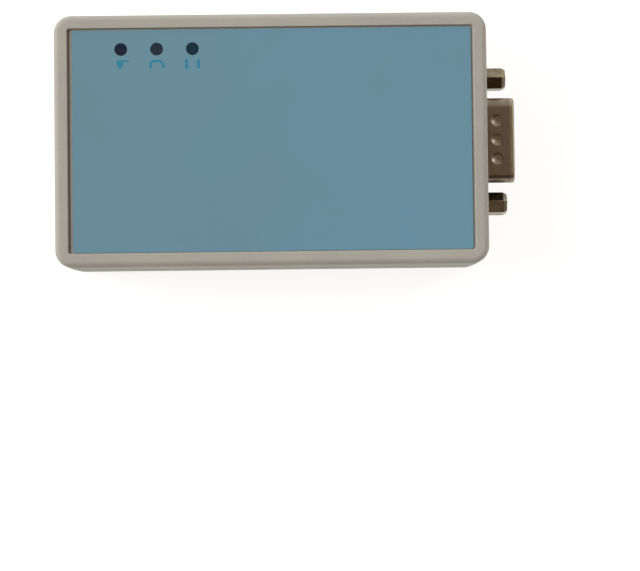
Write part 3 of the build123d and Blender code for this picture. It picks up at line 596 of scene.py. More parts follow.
@dataclass(frozen=True)
class OpalSheet(Finish):
    """Opal acrylic of a light table: lit evenly from below, so that shadows on it stay faint.

    Attributes:
        body: sRGB colour of the sheet itself. Its main colour is that of the light through it.
        glow: strength of that light.
        uneven: how far the light swings to each side, as a share.
        cloud_mm: width of a cloud in the opal filling.
    """

    body: str = "A4A4A2"
    glow: float = 0.8
    uneven: float = 0.02
    cloud_mm: float = 60.0

    def dress(self, tree: bpy.types.NodeTree, place: bpy.types.NodeSocket) -> dict[str, object]:
        """Add the light from below, with the faint clouds of the opal filling.

        Args:
            tree: node tree of the material.
            place: object coordinates, in metres.

        Returns:
            What goes into the shader's sockets.
        """
        clouds = add_node(tree, NOISE, {"Vector": place, "Scale": scale_for(self.cloud_mm), "Detail": 2.0})
        dim, bright = self.glow * (1 - self.uneven), self.glow * (1 + self.uneven)
        light = add_node(tree, RANGE, {"Value": clouds, "To Min": dim, "To Max": bright})
        lit = {"Emission Strength": light, "Emission Color": linear(self.colour)}
        gloss = {"Roughness": self.roughness, "Specular IOR Level": 0.1}
        return {"Base Color": linear(self.body), **lit, **gloss}


# Finishes of this module, each named for what it is
# the dark line in the gap at the label's left end is a painted shadow
CASE_ABS = MouldedPlastic(
    "beige_grey_abs", "A5A499", 0.66, shade="9D9992", sheen=0.2,
    groove_shadow="6E6B62", groove_middle=(-39.55, 0.0, 20.3), groove_half=(0.25, 22.3, 0.3),
)
LABEL_FILM = PrintedFilm("blue_grey_polyester_film", "648694", 0.5, cool="628FA3")
CYAN_INK = ScreenInk("cyan_screen_ink", "24809B", 0.5, thin="358098")
# its lighter front end is rubbed plating and a painted highlight along the rolled rim
TIN_PLATE = PlatedMetal(
    "tin_plated_steel", "8B8070", 0.36, tarnish="766A5A", grain=Grain.ROLLED_Y, spot_mm=2.2, spread=0.08,
    rub_highlight="9C927D", rub_highlight_mm=47.2,
)
NICKEL_TURNED = PlatedMetal(
    "nickel_plated_brass", "928772", 0.2, tarnish="6E634F", grain=Grain.ROLLED_X, spot_mm=2.4, spread=0.06
)
TIN_BRACKET = PlatedMetal("tin_plated_bracket", "A5A29A", 0.32, tarnish="87837A")
GOLD_FLASH = PlatedMetal("gold_flashed_brass", "D2AB52", 0.22, tarnish="A8843C", mark_mm=0.08, spread=0.06)
TINNED_COPPER = PlatedMetal("tinned_copper_lead", "B4B3AE", 0.3, tarnish="8E8C86", mark_mm=0.1)
ZINC_SCREW = PlatedMetal("zinc_plated_screw", "A8A9A7", 0.3, tarnish="8A8670", spot_mm=1.0)
SATIN_CAN = PlatedMetal("satin_aluminium_can", "C2C4C6", 0.34, tarnish="A5A7AA", spot_mm=2.5)
SOLDER = PlatedMetal("soft_solder", "C3C4C2", 0.24, tarnish="9B9C99", mark_mm=0.3, spot_mm=0.5, spread=0.12)
BLACK_NYLON = MouldedPlastic("black_glass_filled_nylon", "1C1C1E", 0.5, shade="141416", cloud_mm=4.0)
WHITE_NYLON = MouldedPlastic("white_glass_filled_nylon", "C9C6BC", 0.45, shade="BBB6A8", cloud_mm=4.0)
GREEN_BOARD = SolderMask("green_solder_mask", "2C7A48", 0.35, gap="1B5231")
MOULD_EPOXY = FilledCompound("chip_mould_epoxy", "1D1E20", 0.6, fleck="34363A")
CAPACITOR_BODY = FilledCompound("capacitor_titanate", "A2875F", 0.5, fleck="8D7450")
RESISTOR_BODY = FilledCompound("resistor_glaze", "1B1D20", 0.3, fleck="2B2E33")
FERRITE_BODY = FilledCompound("pressed_ferrite", "3A3C40", 0.45, fleck="56585C")
FUSE_BODY = FilledCompound("fuse_polymer", "2E4A36", 0.5, fleck="3D5C46")
RED_EPOXY = CastEpoxy("red_dyed_epoxy", "5E1C22", 0.08, deep="2A0A0E")
GREEN_EPOXY = CastEpoxy("green_dyed_epoxy", "1C4A3C", 0.08, deep="0A201C")
POWER_WINDOW = SmokedWindow("smoked_window_power", "172233", 0.3, glow="1E2435")
TRANSMIT_WINDOW = SmokedWindow("smoked_window_transmit", "202C37", 0.3, glow="28313D")
RECEIVE_WINDOW = SmokedWindow("smoked_window_receive", "172C38", 0.3, glow="1B323C")
LIGHT_TABLE = OpalSheet("opal_acrylic_sheet", "FFFFFE", 0.85)


def placed(name: str, data: bpy.types.ID) -> bpy.types.Object:
    """Link data at the origin as a new object.

    Args:
        name: name of the object.
        data: its mesh, camera or light.

    Returns:
        The new object.
    """
    thing = bpy.data.objects.new(name, data)
    bpy.context.scene.collection.objects.link(thing)
    return thing


def new_piece(name: str, mesh: bpy.types.Mesh, finish: Finish | None = None) -> bpy.types.Object:
    """Link a mesh as a new piece.

    Args:
        name: name of the piece.
        mesh: its mesh, in the CAD frame.
        finish: its finish, or None where the mesh already holds its materials.

    Returns:
        The new piece.
    """
    mesh.name = name
    if finish is not None:
        mesh.materials.clear()
        mesh.materials.append(finish.material())
    return placed(name, mesh)


def mesh_of(form: bmesh.types.BMesh, name: str) -> bpy.types.Mesh:
    """Turn a worked form into a mesh, and free it.

    Args:
        form: the form.
        name: name of the mesh.

    Returns:
        The new mesh.
    """
    mesh = bpy.data.meshes.new(name)
    form.to_mesh(mesh)
    form.free()
    return mesh


def plain_mesh(host: bpy.types.Object) -> bpy.types.Mesh:
    """Turn an object and its modifiers into one plain mesh, and remove the object.

    Args:
        host: object whose modifiers are to be applied.

    Returns:
        The evaluated mesh.
    """
    bpy.context.view_layer.update()
    graph = bpy.context.evaluated_depsgraph_get()
    mesh = bpy.data.meshes.new_from_object(host.evaluated_get(graph), depsgraph=graph)
    bpy.data.objects.remove(host)
    return mesh


def smoothed(mesh: bpy.types.Mesh, sharp_deg: float) -> bpy.types.Mesh:
    """Shade a mesh smooth, with sharp edges above an angle and flat faces kept flat.

    Args:
        mesh: mesh to shade.
        sharp_deg: angle between faces above which an edge stays sharp.

    Returns:
        The shaded mesh.
    """
    mesh.shade_smooth()
    mesh.set_sharp_from_angle(angle=math.radians(sharp_deg))
    host = placed("shading_host", mesh)
    host.modifiers.new("flat_faces", "WEIGHTED_NORMAL").keep_sharp = True
    return plain_mesh(host)


def merged_form(node: str) -> bmesh.types.BMesh:
    """Copy a CAD node's loose triangles and join them.

    Args:
        node: CAD node to copy.

    Returns:
        The joined form.
    """
    form = bmesh.new()
    form.from_mesh(bpy.data.objects[node].data)
    bmesh.ops.remove_doubles(form, verts=form.verts, dist=DOUBLES)
    return form


def copy_of(
    node: str, name: str, finish: Finish, edge_mm: float = 0.0, sharp_deg: float = 32.0
) -> bpy.types.Object:
    """Copy a CAD node as a smooth piece and, where asked, with broken edges.

    Args:
        node: CAD node to copy.
        name: name of the new piece.
        finish: its finish.
        edge_mm: width of the broken edges, or 0 for none.
        sharp_deg: angle above which an edge stays sharp.

    Returns:
        The new piece.
    """
    form = merged_form(node)
    if edge_mm:
        bmesh.ops.dissolve_limit(form, angle_limit=math.radians(FLAT_DEG), verts=form.verts, edges=form.edges)
    mesh = mesh_of(form, name)
    if "custom_normal" in mesh.attributes:
        mesh.attributes.remove(mesh.attributes["custom_normal"])
    if edge_mm:
        host = placed("edge_host", mesh)
        bevel = host.modifiers.new("broken_edges", "BEVEL")
        bevel.width = edge_mm * MM
        bevel.segments = 2
        bevel.limit_method = "ANGLE"
        bevel.angle_limit = math.radians(sharp_deg)
        mesh = plain_mesh(host)
    return new_piece(name, smoothed(mesh, sharp_deg + BEVEL_DEG if edge_mm else sharp_deg), finish)


def solids_of(node: str) -> list[tuple[Vector, Vector]]:
    """Find the box of each separate solid of a CAD node.

    Args:
        node: CAD node to look into.

    Returns:
        Lowest and highest corner of each solid, in order of x and then y.
    """
    form = merged_form(node)
    left = set(form.verts)
    boxes = []
    while left:
        island = {left.pop()}
        border = list(island)
        while border:
            vertex = border.pop()
            near = {edge.other_vert(vertex) for edge in vertex.link_edges} & left
            left -= near
            island |= near
            border.extend(near)
        low = Vector([min(v.co[i] for v in island) for i in range(3)])
        high = Vector([max(v.co[i] for v in island) for i in range(3)])
        boxes.append((low, high))
    form.free()
    return sorted(boxes, key=lambda box: (round(box[0].x, 5), round(box[0].y, 5)))


def middle_of(low: Vector, high: Vector, height: float | None = None) -> Vector:
    """Find the middle of a box.

    Args:
        low: its lowest corner.
        high: its highest corner.
        height: height to take instead of the box's own middle height.

    Returns:
        The middle.
    """
    middle = (low + high) / 2
    return middle if height is None else Vector((middle.x, middle.y, height))


def lathe(name: str, profile: Sequence[Flat], steps: int) -> bpy.types.Mesh:
    """Turn a profile round the Z axis into a closed mesh.

    Args:
        name: name of the mesh.
        profile: radius and height of each point in millimetres, from the lower pole to the upper one.
        steps: faces round the axis.

    Returns:
        The turned mesh, centred on the Z axis.
    """
    form = bmesh.new()
    points = [form.verts.new(mm(radius, 0, height)) for radius, height in profile]
    edges = [form.edges.new(pair) for pair in zip(points, points[1:])]
    bmesh.ops.spin(
        form, geom=points + edges, axis=(0, 0, 1), cent=(0, 0, 0), angle=math.tau, steps=steps, use_merge=True
    )
    bmesh.ops.remove_doubles(form, verts=form.verts, dist=TURNED_DOUBLES)
    bmesh.ops.recalc_face_normals(form, faces=form.faces)
    return mesh_of(form, name)


def prism(name: str, outlines: Sequence[Sequence[Flat]], low: float, high: float) -> bpy.types.Mesh:
    """Raise flat outlines into closed plates.

    Args:
        name: name of the mesh.
        outlines: corners of each plate in millimetres, in order round it.
        low: height of the underside, in millimetres.
        high: height of the top, in millimetres.

    Returns:
        The mesh of all plates.
    """
    form = bmesh.new()
    for outline in outlines:
        face = form.faces.new([form.verts.new(mm(x, y, low)) for x, y in outline])
        raised = bmesh.ops.extrude_face_region(form, geom=[face])["geom"]
        tops = [v for v in raised if isinstance(v, bmesh.types.BMVert)]
        bmesh.ops.translate(form, verts=tops, vec=mm(0, 0, high - low))
    bmesh.ops.recalc_face_normals(form, faces=form.faces)
    return mesh_of(form, name)


def point_cloud(
    name: str, places: Sequence[Vector], turns: Sequence[float] | None = None
) -> bpy.types.Object:
    """Make a mesh of loose points that a tree puts shapes on.

    Args:
        name: name of the host object.
        places: the points, in metres.
        turns: turn of each shape about Z, in radians, or None for no turn.

    Returns:
        The host object.
    """
    mesh = bpy.data.meshes.new(name)
    mesh.from_pydata([tuple(p) for p in places], [], [])
    turn = mesh.attributes.new("turn", "FLOAT", "POINT")
    turn.data.foreach_set("value", list(turns or [0.0] * len(places)))
    return placed(name, mesh)


def grow(
    host: bpy.types.Object, tree: bpy.types.NodeTree, name: str, values: dict[str, object]
) -> bpy.types.Object:
    """Run a Geometry Nodes tree on a host once and keep its plain mesh as a piece.

    Args:
        host: object that holds the points. It is removed.
        tree: the tree.
        name: name of the new piece.
        values: value of each of the tree's named inputs.

    Returns:
        The new piece.
    """
    modifier = host.modifiers.new("grow", "NODES")
    modifier.node_group = tree
    for item in tree.interface.items_tree:
        if item.item_type == "SOCKET" and item.in_out == "INPUT" and item.name in values:
            modifier[item.identifier] = values[item.name]
    return new_piece(name, plain_mesh(host))


def new_tree(name: str, inputs: dict[str, str]) -> tuple[bpy.types.NodeTree, bpy.types.Node]:
    """Start a Geometry Nodes tree on points, with named inputs for the rest.

    Args:
        name: name of the tree.
        inputs: kind of socket for each input's name, such as Float.

    Returns:
        The tree, with a geometry output, and its input node.
    """
    tree = bpy.data.node_groups.new(name, "GeometryNodeTree")
    for label, kind in {"Points": "Geometry", **inputs, "Material": "Material"}.items():
        tree.interface.new_socket(label, in_out="INPUT", socket_type=f"NodeSocket{kind}")
    tree.interface.new_socket("Geometry", in_out="OUTPUT", socket_type="NodeSocketGeometry")
    return tree, add_node(tree, "NodeGroupInput")


def end_tree(tree: bpy.types.NodeTree, start: bpy.types.Node, shape: dict[str, object], smooth: bool) -> None:
    """Close a tree: put the shape on the points, make the copies real, shade them and give their material.

    Args:
        tree: the tree.
        start: its input node.
        shape: the shape, and its turn where it has one, for the node that puts it on the points.
        smooth: whether the shapes are round.
    """
    copies = add_node(tree, "GeometryNodeInstanceOnPoints", {"Points": start.outputs["Points"], **shape})
    real = add_node(tree, "GeometryNodeRealizeInstances", {"Geometry": copies})
    shaded = add_node(tree, "GeometryNodeSetShadeSmooth", {"Geometry": real, "Shade Smooth": smooth})
    finish = {"Geometry": shaded, "Material": start.outputs["Material"]}
    dressed = add_node(tree, "GeometryNodeSetMaterial", finish)
    add_node(tree, "NodeGroupOutput", {"Geometry": dressed})


def repeat_tree() -> bpy.types.NodeTree:
    """Build the tree that repeats one shape on points, each turned by its own angle.

    Returns:
        The tree, made once.
    """
    made = bpy.data.node_groups.get("repeat_on_points")
    if made is not None:
        return made
    tree, start = new_tree("repeat_on_points", {"Shape": "Object"})
    turn = add_node(tree, "GeometryNodeInputNamedAttribute", {"Name": "turn"}, data_type="FLOAT")
    spin = add_node(tree, "ShaderNodeCombineXYZ", {"Z": turn})
    shape = add_node(tree, "GeometryNodeObjectInfo", {"Object": start.outputs["Shape"]})
    end_tree(tree, start, {"Instance": shape.outputs["Geometry"], "Rotation": spin}, True)
    return tree


def thread_tree() -> bpy.types.NodeTree:
    """Build the tree that cuts a thread's ridge as a spiral on every point.

    Returns:
        The tree, made once.
    """
    made = bpy.data.node_groups.get("thread_on_points")
    if made is not None:
        return made
    sizes = dict.fromkeys(("Radius", "Length", "Pitch", "Ridge"), "Float")
    tree, start = new_tree("thread_on_points", {**sizes, "Tilt": "Vector"})
    radius, length, pitch, ridge, tilt = (start.outputs[label] for label in (*sizes, "Tilt"))
    rounds = add_node(tree, MATH, {0: length, 1: pitch}, operation="DIVIDE")
    run = {"Rotations": rounds, "Start Radius": radius, "End Radius": radius, "Height": length}
    spiral = add_node(tree, "GeometryNodeCurveSpiral", {"Resolution": 28, **run})
    section = add_node(tree, "GeometryNodeCurvePrimitiveCircle", {"Resolution": 4, "Radius": ridge})
    swept = {"Curve": spiral, "Profile Curve": section, "Fill Caps": True}
    wire = add_node(tree, "GeometryNodeCurveToMesh", swept)
    tipped = add_node(tree, "GeometryNodeTransform", {"Geometry": wire, "Rotation": tilt})
    end_tree(tree, start, {"Instance": tipped}, False)
    return tree


def repeated(
    name: str,
    shape: bpy.types.Mesh,
    finish: Finish,
    places: Sequence[Vector],
    turns: Sequence[float] | None = None,
) -> bpy.types.Object:
    """Repeat one shape on points.

    Args:
        name: name of the new piece.
        shape: mesh of one shape, round the origin.
        finish: finish of all shapes.
        places: where the shapes stand.
        turns: turn of each about Z, in radians.

    Returns:
        The new piece.
    """
    pattern = new_piece(f"{name}_pattern", shape)
    values = {"Shape": pattern, "Material": finish.material()}
    piece = grow(point_cloud(f"{name}_points", places, turns), repeat_tree(), name, values)
    bpy.data.objects.remove(pattern)
    return piece


@dataclass(frozen=True)
class Thread:
    """Ridge of a screw thread, wound as a spiral. Sizes are in millimetres.

    Attributes:
        radius: mean radius of the thread.
        length: its length.
        pitch: distance from one turn to the next.
        ridge: height of the ridge above the mean radius.
        tilt: turn of its axis from Z about Y, in radians.
    """

    radius: float
    length: float
    pitch: float
    ridge: float
    tilt: float = 0.0

    def wind(self, name: str, finish: Finish, feet: Sequence[Vector]) -> bpy.types.Object:
        """Wind the ridge on every screw of a kind.

        Args:
            name: name of the new piece.
            finish: finish of the screws.
            feet: where each thread begins.

        Returns:
            All the ridges in one piece.
        """
        values = {
            "Radius": self.radius * MM,
            "Length": self.length * MM,
            "Pitch": self.pitch * MM,
            "Ridge": self.ridge * MM,
            "Tilt": (0.0, self.tilt, 0.0),
            "Material": finish.material(),
        }
        return grow(point_cloud(f"{name}_points", feet), thread_tree(), name, values)


class SubAssembly:
    """Pieces that belong together, and how each is handed to the frame."""

    def keep(self, piece: bpy.types.Object, slot: Slot, *nodes: str) -> None:
        """Let a finished piece ride on the body and stand for its CAD nodes.

        Args:
            piece: the piece.
            slot: slot of the record that its finish comes from.
            nodes: CAD nodes that it stands for.
        """
        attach(piece, BODY)
        if nodes:
            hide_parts(*nodes)
        LOG.info("%s: %d faces, %s", piece.name, len(piece.data.polygons), slot.value)

    def copy(self, node: str, name: str, finish: Finish, slot: Slot, **edges: float) -> None:
        """Keep a smooth copy of a CAD node.

        Args:
            node: CAD node to copy, and to stand for.
            name: name of the new piece.
            finish: its finish.
            slot: slot of the record that its finish comes from.
            edges: how its edges are broken, where they are.
        """
        self.keep(copy_of(node, name, finish, **edges), slot, node)

    def build(self) -> None:
        """Make every piece of the group."""
        raise NotImplementedError


@dataclass
class Housing(SubAssembly):
    """Two moulded halves, the label in its recess with three printed marks, and the screws underneath.

    Attributes:
        lamp_x: places of the lamps along the case, in millimetres.
        mark_y: middle of the printed marks.
        mark_height: height of a mark.
        stroke: width of a mark's strokes.
        ink: thickness of the ink.
        sunk: how far the ink reaches into the film, so that no gap shows.
        post_x: distance of each post of the last mark from its middle.
        arch_radius: outer radius of the middle mark.
        thread: coarse thread of the case screws.
        point_length: plain length from the thread to the screw's point.
    """

    lamp_x: tuple[float, ...] = (-29.2, -22.2, -15.2)
    mark_y: float = 14.9
    mark_height: float = 1.9
    stroke: float = 0.46
    ink: float = 0.012
    sunk: float = 0.004
    post_x: float = 1.15
    arch_radius: float = 1.45
    thread: Thread = Thread(1.16, 7.4, 1.0, 0.14)
    point_length: float = 1.1

    def build(self) -> None:
        """Make the case, its label and its screws."""
        self.copy("top_cover", "cover_moulding", CASE_ABS, Slot.CASE)
        self.copy("bottom_case", "base_moulding", CASE_ABS, Slot.CASE)
        self.copy("label", "label_overlay", LABEL_FILM, Slot.LABEL, edge_mm=0.07)
        self.keep(self.marks(), Slot.LABEL)
        self.copy("case_screws", "case_screw_set", ZINC_SCREW, Slot.SCREW)
        self.keep(self.screw_threads(), Slot.SCREW)

    def bar(self, start: Flat, end: Flat, width: float) -> list[Flat]:
        """Outline a bar with round ends.

        Args:
            start: one end of its middle line, in millimetres.
            end: the other end.
            width: width of the bar.

        Returns:
            Its corners, anticlockwise.
        """
        along = math.atan2(end[1] - start[1], end[0] - start[0])
        corners = []
        for (x, y), first in ((end, -90.0), (start, 90.0)):
            for step in range(9):
                angle = along + math.radians(first + step * 22.5)
                corners.append((x + width / 2 * math.cos(angle), y + width / 2 * math.sin(angle)))
        return corners

    def arch(self, centre: Flat, radius: float, foot: float) -> list[Flat]:
        """Outline a round arch on two legs.

        Args:
            centre: middle of its round, in millimetres.
            radius: outer radius across the case.
            foot: height of its legs' feet on the label.

        Returns:
            Its corners, clockwise.
        """
        x, y = centre
        inner, high = radius - self.stroke, self.mark_height / 2
        angles = [math.radians(step * 15) for step in range(13)]
        outside = [(x - radius * math.cos(a), y + high * math.sin(a)) for a in angles]
        inside = [(x + inner * math.cos(a), y + (high - self.stroke) * math.sin(a)) for a in angles]
        outer = [(x - radius, foot), *outside, (x + radius, foot)]
        return outer + [(x + inner, foot), *inside, (x - inner, foot)]

    def marks(self) -> bpy.types.Object:
        """Print three plain marks below the lamps: a bar over a wedge, an arch, and two posts.

        Returns:
            The ink of all three.
        """
        top = self.mark_y + (self.mark_height - self.stroke) / 2
        low = self.mark_y - (self.mark_height - self.stroke) / 2
        power, transmit, receive = self.lamp_x
        wedge = ((-1.0, top + 0.1), (-0.45, low - 0.1), (0.1, low - 0.1), (0.5, top - 0.3))
        outlines = [
            self.bar((power - 0.4, top), (power + 1.4, top), self.stroke * 0.7),
            [(power + x, y) for x, y in wedge],
            self.arch((transmit, self.mark_y), self.arch_radius, low),
        ]
        for x in (receive - self.post_x, receive + self.post_x):
            outlines.append(self.bar((x, top), (x, low), self.stroke * 1.2))
        film_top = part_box("label")[1].z / MM
        form = bmesh.new()
        for step, outline in enumerate(outlines):
            # strokes that cross lie a hair above each other, so that no two faces share a plane
            plate = prism("stroke", [outline], film_top - self.sunk, film_top + self.ink + 0.001 * step)
            form.from_mesh(plate)
            bpy.data.meshes.remove(plate)
        return new_piece("lamp_marks", mesh_of(form, "lamp_marks"), CYAN_INK)

    def screw_threads(self) -> bpy.types.Object:
        """Roll a coarse thread on the shank of each case screw.

        Returns:
            The ridges of all four threads.
        """
        rise = (self.thread.length + self.point_length) * MM
        feet = [middle_of(low, high, high.z - rise) for low, high in solids_of("case_screws")]
        return self.thread.wind("case_screw_threads", ZINC_SCREW, feet)


@dataclass
class SerialPort(SubAssembly):
    """Nine-pin D plug: drawn shell, insulator, pins, brackets with nuts, and the two jackscrews.

    Attributes:
        thread: number 4-40 thread tapped into each jackscrew, 40 turns to the inch, along X.
        lead_in: plain length before the thread, in millimetres.
    """

    thread: Thread = Thread(1.25, 4.2, 0.635, 0.17, math.pi / 2)
    lead_in: float = 0.1

    def build(self) -> None:
        """Make every piece of the connector."""
        self.copy("serial_shell", "d_shell", TIN_PLATE, Slot.CONNECTOR, sharp_deg=20.0)
        self.copy("serial_insulator", "d_insulator", BLACK_NYLON, Slot.BLACK, edge_mm=0.06)
        self.copy("serial_pins", "d_pins", GOLD_FLASH, Slot.GOLD)
        self.copy("serial_brackets", "d_brackets", TIN_BRACKET, Slot.BRACKET, edge_mm=0.08)
        self.copy("jackscrew_nuts", "jack_nuts", TIN_BRACKET, Slot.BRACKET, edge_mm=0.1)
        self.copy("jackscrews", "jack_bodies", NICKEL_TURNED, Slot.JACKSCREW, edge_mm=0.08, sharp_deg=18.0)
        self.keep(self.jack_threads(), Slot.JACKSCREW)

    def jack_threads(self) -> bpy.types.Object:
        """Tap a 4-40 thread into the front of each jackscrew.

        Returns:
            The ridges of both threads.
        """
        depth = (self.thread.length + self.lead_in) * MM
        feet = []
        for low, high in solids_of("jackscrews"):
            middle = middle_of(low, high)
            feet.append(Vector((high.x - depth, middle.y, middle.z)))
        return self.thread.wind("jack_threads", NICKEL_TURNED, feet)


class UsbPort(SubAssembly):
    """USB type B socket: folded can, insulator with its tongue, and four contacts."""

    def build(self) -> None:
        """Make every piece of the socket."""
        self.copy("usb_shell", "usb_can", TIN_BRACKET, Slot.CONNECTOR, edge_mm=0.07)
        self.copy("usb_insulator", "usb_tongue", WHITE_NYLON, Slot.WHITE, edge_mm=0.08)
        self.copy("usb_contacts", "usb_springs", GOLD_FLASH, Slot.GOLD, edge_mm=0.04)


@dataclass
class Lamps(SubAssembly):
    """Three round lamps under the holes of the roof, each a dyed lens with a cup inside, on two leads.

    Attributes:
        cup: radius and height of each point of a lamp's cup above its lens's foot, in millimetres.
        window_radius: radius of a pane of the film over a lamp.
        window_sink: depth of the pane below the printed face.
        window_edge: width and depth of the pane's broken edge.
    """

    cup: tuple[Flat, ...] = (
        (0.0, 0.9), (0.55, 0.9), (0.7, 2.5), (0.5, 2.5), (0.28, 2.05), (0.0, 2.05)
    )
    window_radius: float = 1.24
    window_sink: float = 0.04
    window_edge: Flat = (0.03, 0.02)

    def build(self) -> None:
        """Make the lenses, the cups in them, the leads and the film's windows."""
        lamps = (
            ("power", RED_EPOXY, Slot.RED, POWER_WINDOW),
            ("transmit", RED_EPOXY, Slot.RED, TRANSMIT_WINDOW),
            ("receive", GREEN_EPOXY, Slot.GREEN, RECEIVE_WINDOW),
        )
        centres = []
        for duty, epoxy, slot, _ in lamps:
            self.copy(f"led_{duty}", f"lens_{duty}", epoxy, slot)
            low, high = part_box(f"led_{duty}")
            centres.append(middle_of(low, high, low.z))
        self.keep(repeated("lamp_cups", lathe("cup", self.cup, 20), TINNED_COPPER, centres), Slot.LEAD)
        self.copy("led_leads", "lamp_leads", TINNED_COPPER, Slot.LEAD, edge_mm=0.05)
        for (duty, _, _, tint), centre in zip(lamps, centres):
            self.keep(self.window(f"window_{duty}", centre, tint), Slot.LABEL)

    def window(self, name: str, centre: Vector, finish: Finish) -> bpy.types.Object:
        """Fill one hole of the label with the film's own unprinted pane, a hair below its face.

        Args:
            name: name of the pane.
            centre: middle of the lamp below it.
            finish: tint of the pane.

        Returns:
            The pane.
        """
        low, high = (corner.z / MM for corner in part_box("label"))
        top, radius = high - self.window_sink, self.window_radius
        across, down = self.window_edge
        profile = [(0.0, low), (radius, low), (radius, top - down), (radius - across, top), (0.0, top)]
        mesh = lathe(name, profile, 48)
        mesh.transform(Matrix.Translation((centre.x, centre.y, 0.0)))
        return new_piece(name, mesh, finish)


@dataclass
class Board(SubAssembly):
    """Circuit board with its screws, chips, small components and solder joints.

    Attributes:
        fillet: radius of a solder joint's foot, in millimetres.
        rise: height of a solder joint.
        tail: width of a connector's tail.
        cap_share: length of a chip component's tinned end, as a share of the whole.
        step: how far its middle lies below its tinned ends.
    """

    fillet: float = 0.72
    rise: float = 0.75
    tail: float = 0.6
    cap_share: float = 0.25
    step: float = 0.04

    def build(self) -> None:
        """Make the board and all that stands on it."""
        self.copy("circuit_board", "board_laminate_sheet", GREEN_BOARD, Slot.BOARD)
        self.copy("board_screws", "board_screw_set", ZINC_SCREW, Slot.SCREW)
        chips = {"usb_bridge": "bridge", "line_driver": "driver", "memory": "memory"}
        for node, short in chips.items():
            self.copy(f"{node}_chip", f"{short}_package", MOULD_EPOXY, Slot.CHIP, edge_mm=0.05)
        self.copy("voltage_regulator", "regulator_package", MOULD_EPOXY, Slot.CHIP, edge_mm=0.05)
        for node, short in {**chips, "regulator": "regulator"}.items():
            self.copy(f"{node}_leads", f"{short}_gull_wings", TINNED_COPPER, Slot.LEAD)
        self.copy("crystal", "crystal_can", SATIN_CAN, Slot.CAN)
        self.copy("capacitor_base", "capacitor_seat", BLACK_NYLON, Slot.BLACK, edge_mm=0.08)
        self.copy("capacitor_can", "capacitor_sleeve", SATIN_CAN, Slot.CAN)
        self.chip_components("ceramic_capacitors", CAPACITOR_BODY, Slot.CAPACITOR)
        self.chip_components("chip_resistors", RESISTOR_BODY, Slot.RESISTOR)
        self.chip_components("ferrite_bead", FERRITE_BODY, Slot.FERRITE)
        self.chip_components("resettable_fuse", FUSE_BODY, Slot.FUSE)
        self.keep(self.solder_joints(), Slot.LEAD)

    def chip_components(self, node: str, finish: Finish, slot: Slot) -> None:
        """Repeat a two-ended chip component: its middle in one piece and its tinned ends in another.

        Args:
            node: CAD node whose solids say where each one lies.
            finish: finish of the middle.
            slot: record slot of the middle.
        """
        boxes = solids_of(node)
        sizes = [high - low for low, high in boxes]
        places = [middle_of(low, high, low.z) for low, high in boxes]
        turns = [0.0 if size.x > size.y else math.pi / 2 for size in sizes]
        width, length, tall = (*(side / MM for side in sorted(sizes[0].xy)), sizes[0].z / MM)
        half, side = length / 2, width / 2
        inner, low_side = half - length * self.cap_share, self.step - side
        outline = [(-inner, low_side), (inner, low_side), (inner, -low_side), (-inner, -low_side)]
        middle = prism("middle", [outline], 0.0, tall - self.step)
        ends = []
        for near, far in ((-half, -inner), (inner, half)):
            ends.append([(near, -side), (far, -side), (far, side), (near, side)])
        caps = prism("caps", ends, 0.0, tall)
        self.keep(repeated(f"{node}_bodies", middle, finish, places, turns), slot, node)
        self.keep(repeated(f"{node}_ends", caps, TINNED_COPPER, places, turns), Slot.LEAD)

    def solder_joints(self) -> bpy.types.Object:
        """Solder every tail under the board.

        Returns:
            All the joints in one piece.
        """
        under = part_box("circuit_board")[0].z
        places = []
        # a tail stands at the back of its contact: at its low end, its high end, or in its middle
        for node, share in (("serial_pins", 0.0), ("usb_contacts", 1.0), ("led_leads", 0.5)):
            for low, high in solids_of(node):
                back = low.x + share * (high.x - low.x) + (0.5 - share) * self.tail * MM
                places.append(Vector((back, (low.y + high.y) / 2, under)))
        foot, rise = self.fillet, self.rise
        tip = [(0.0, -rise), (0.2, -rise), (0.34, -rise * 0.6)]
        flank = [(foot * 0.7, -rise * 0.2), (foot, 0.0), (0.0, 0.0)]
        return repeated("solder_joints", lathe("joint", tip + flank, 14), SOLDER, places)


@dataclass(frozen=True)
class Softbox:
    """Wide and even light of the studio, so far away that it is the same all over the table.

    Attributes:
        name: name of the light.
        come_from: direction that its light comes from.
        strength: its strength, in watts on a square metre.
        spread: angle that its front fills, in degrees.
    """

    name: str
    come_from: tuple[float, float, float]
    strength: float
    spread: float

    def hang(self) -> None:
        """Add the light to the scene."""
        data = bpy.data.lights.new(self.name, "SUN")
        data.energy = self.strength
        data.angle = math.radians(self.spread)
        placed(self.name, data).rotation_euler = Vector(self.come_from).to_track_quat("Z", "Y").to_euler()


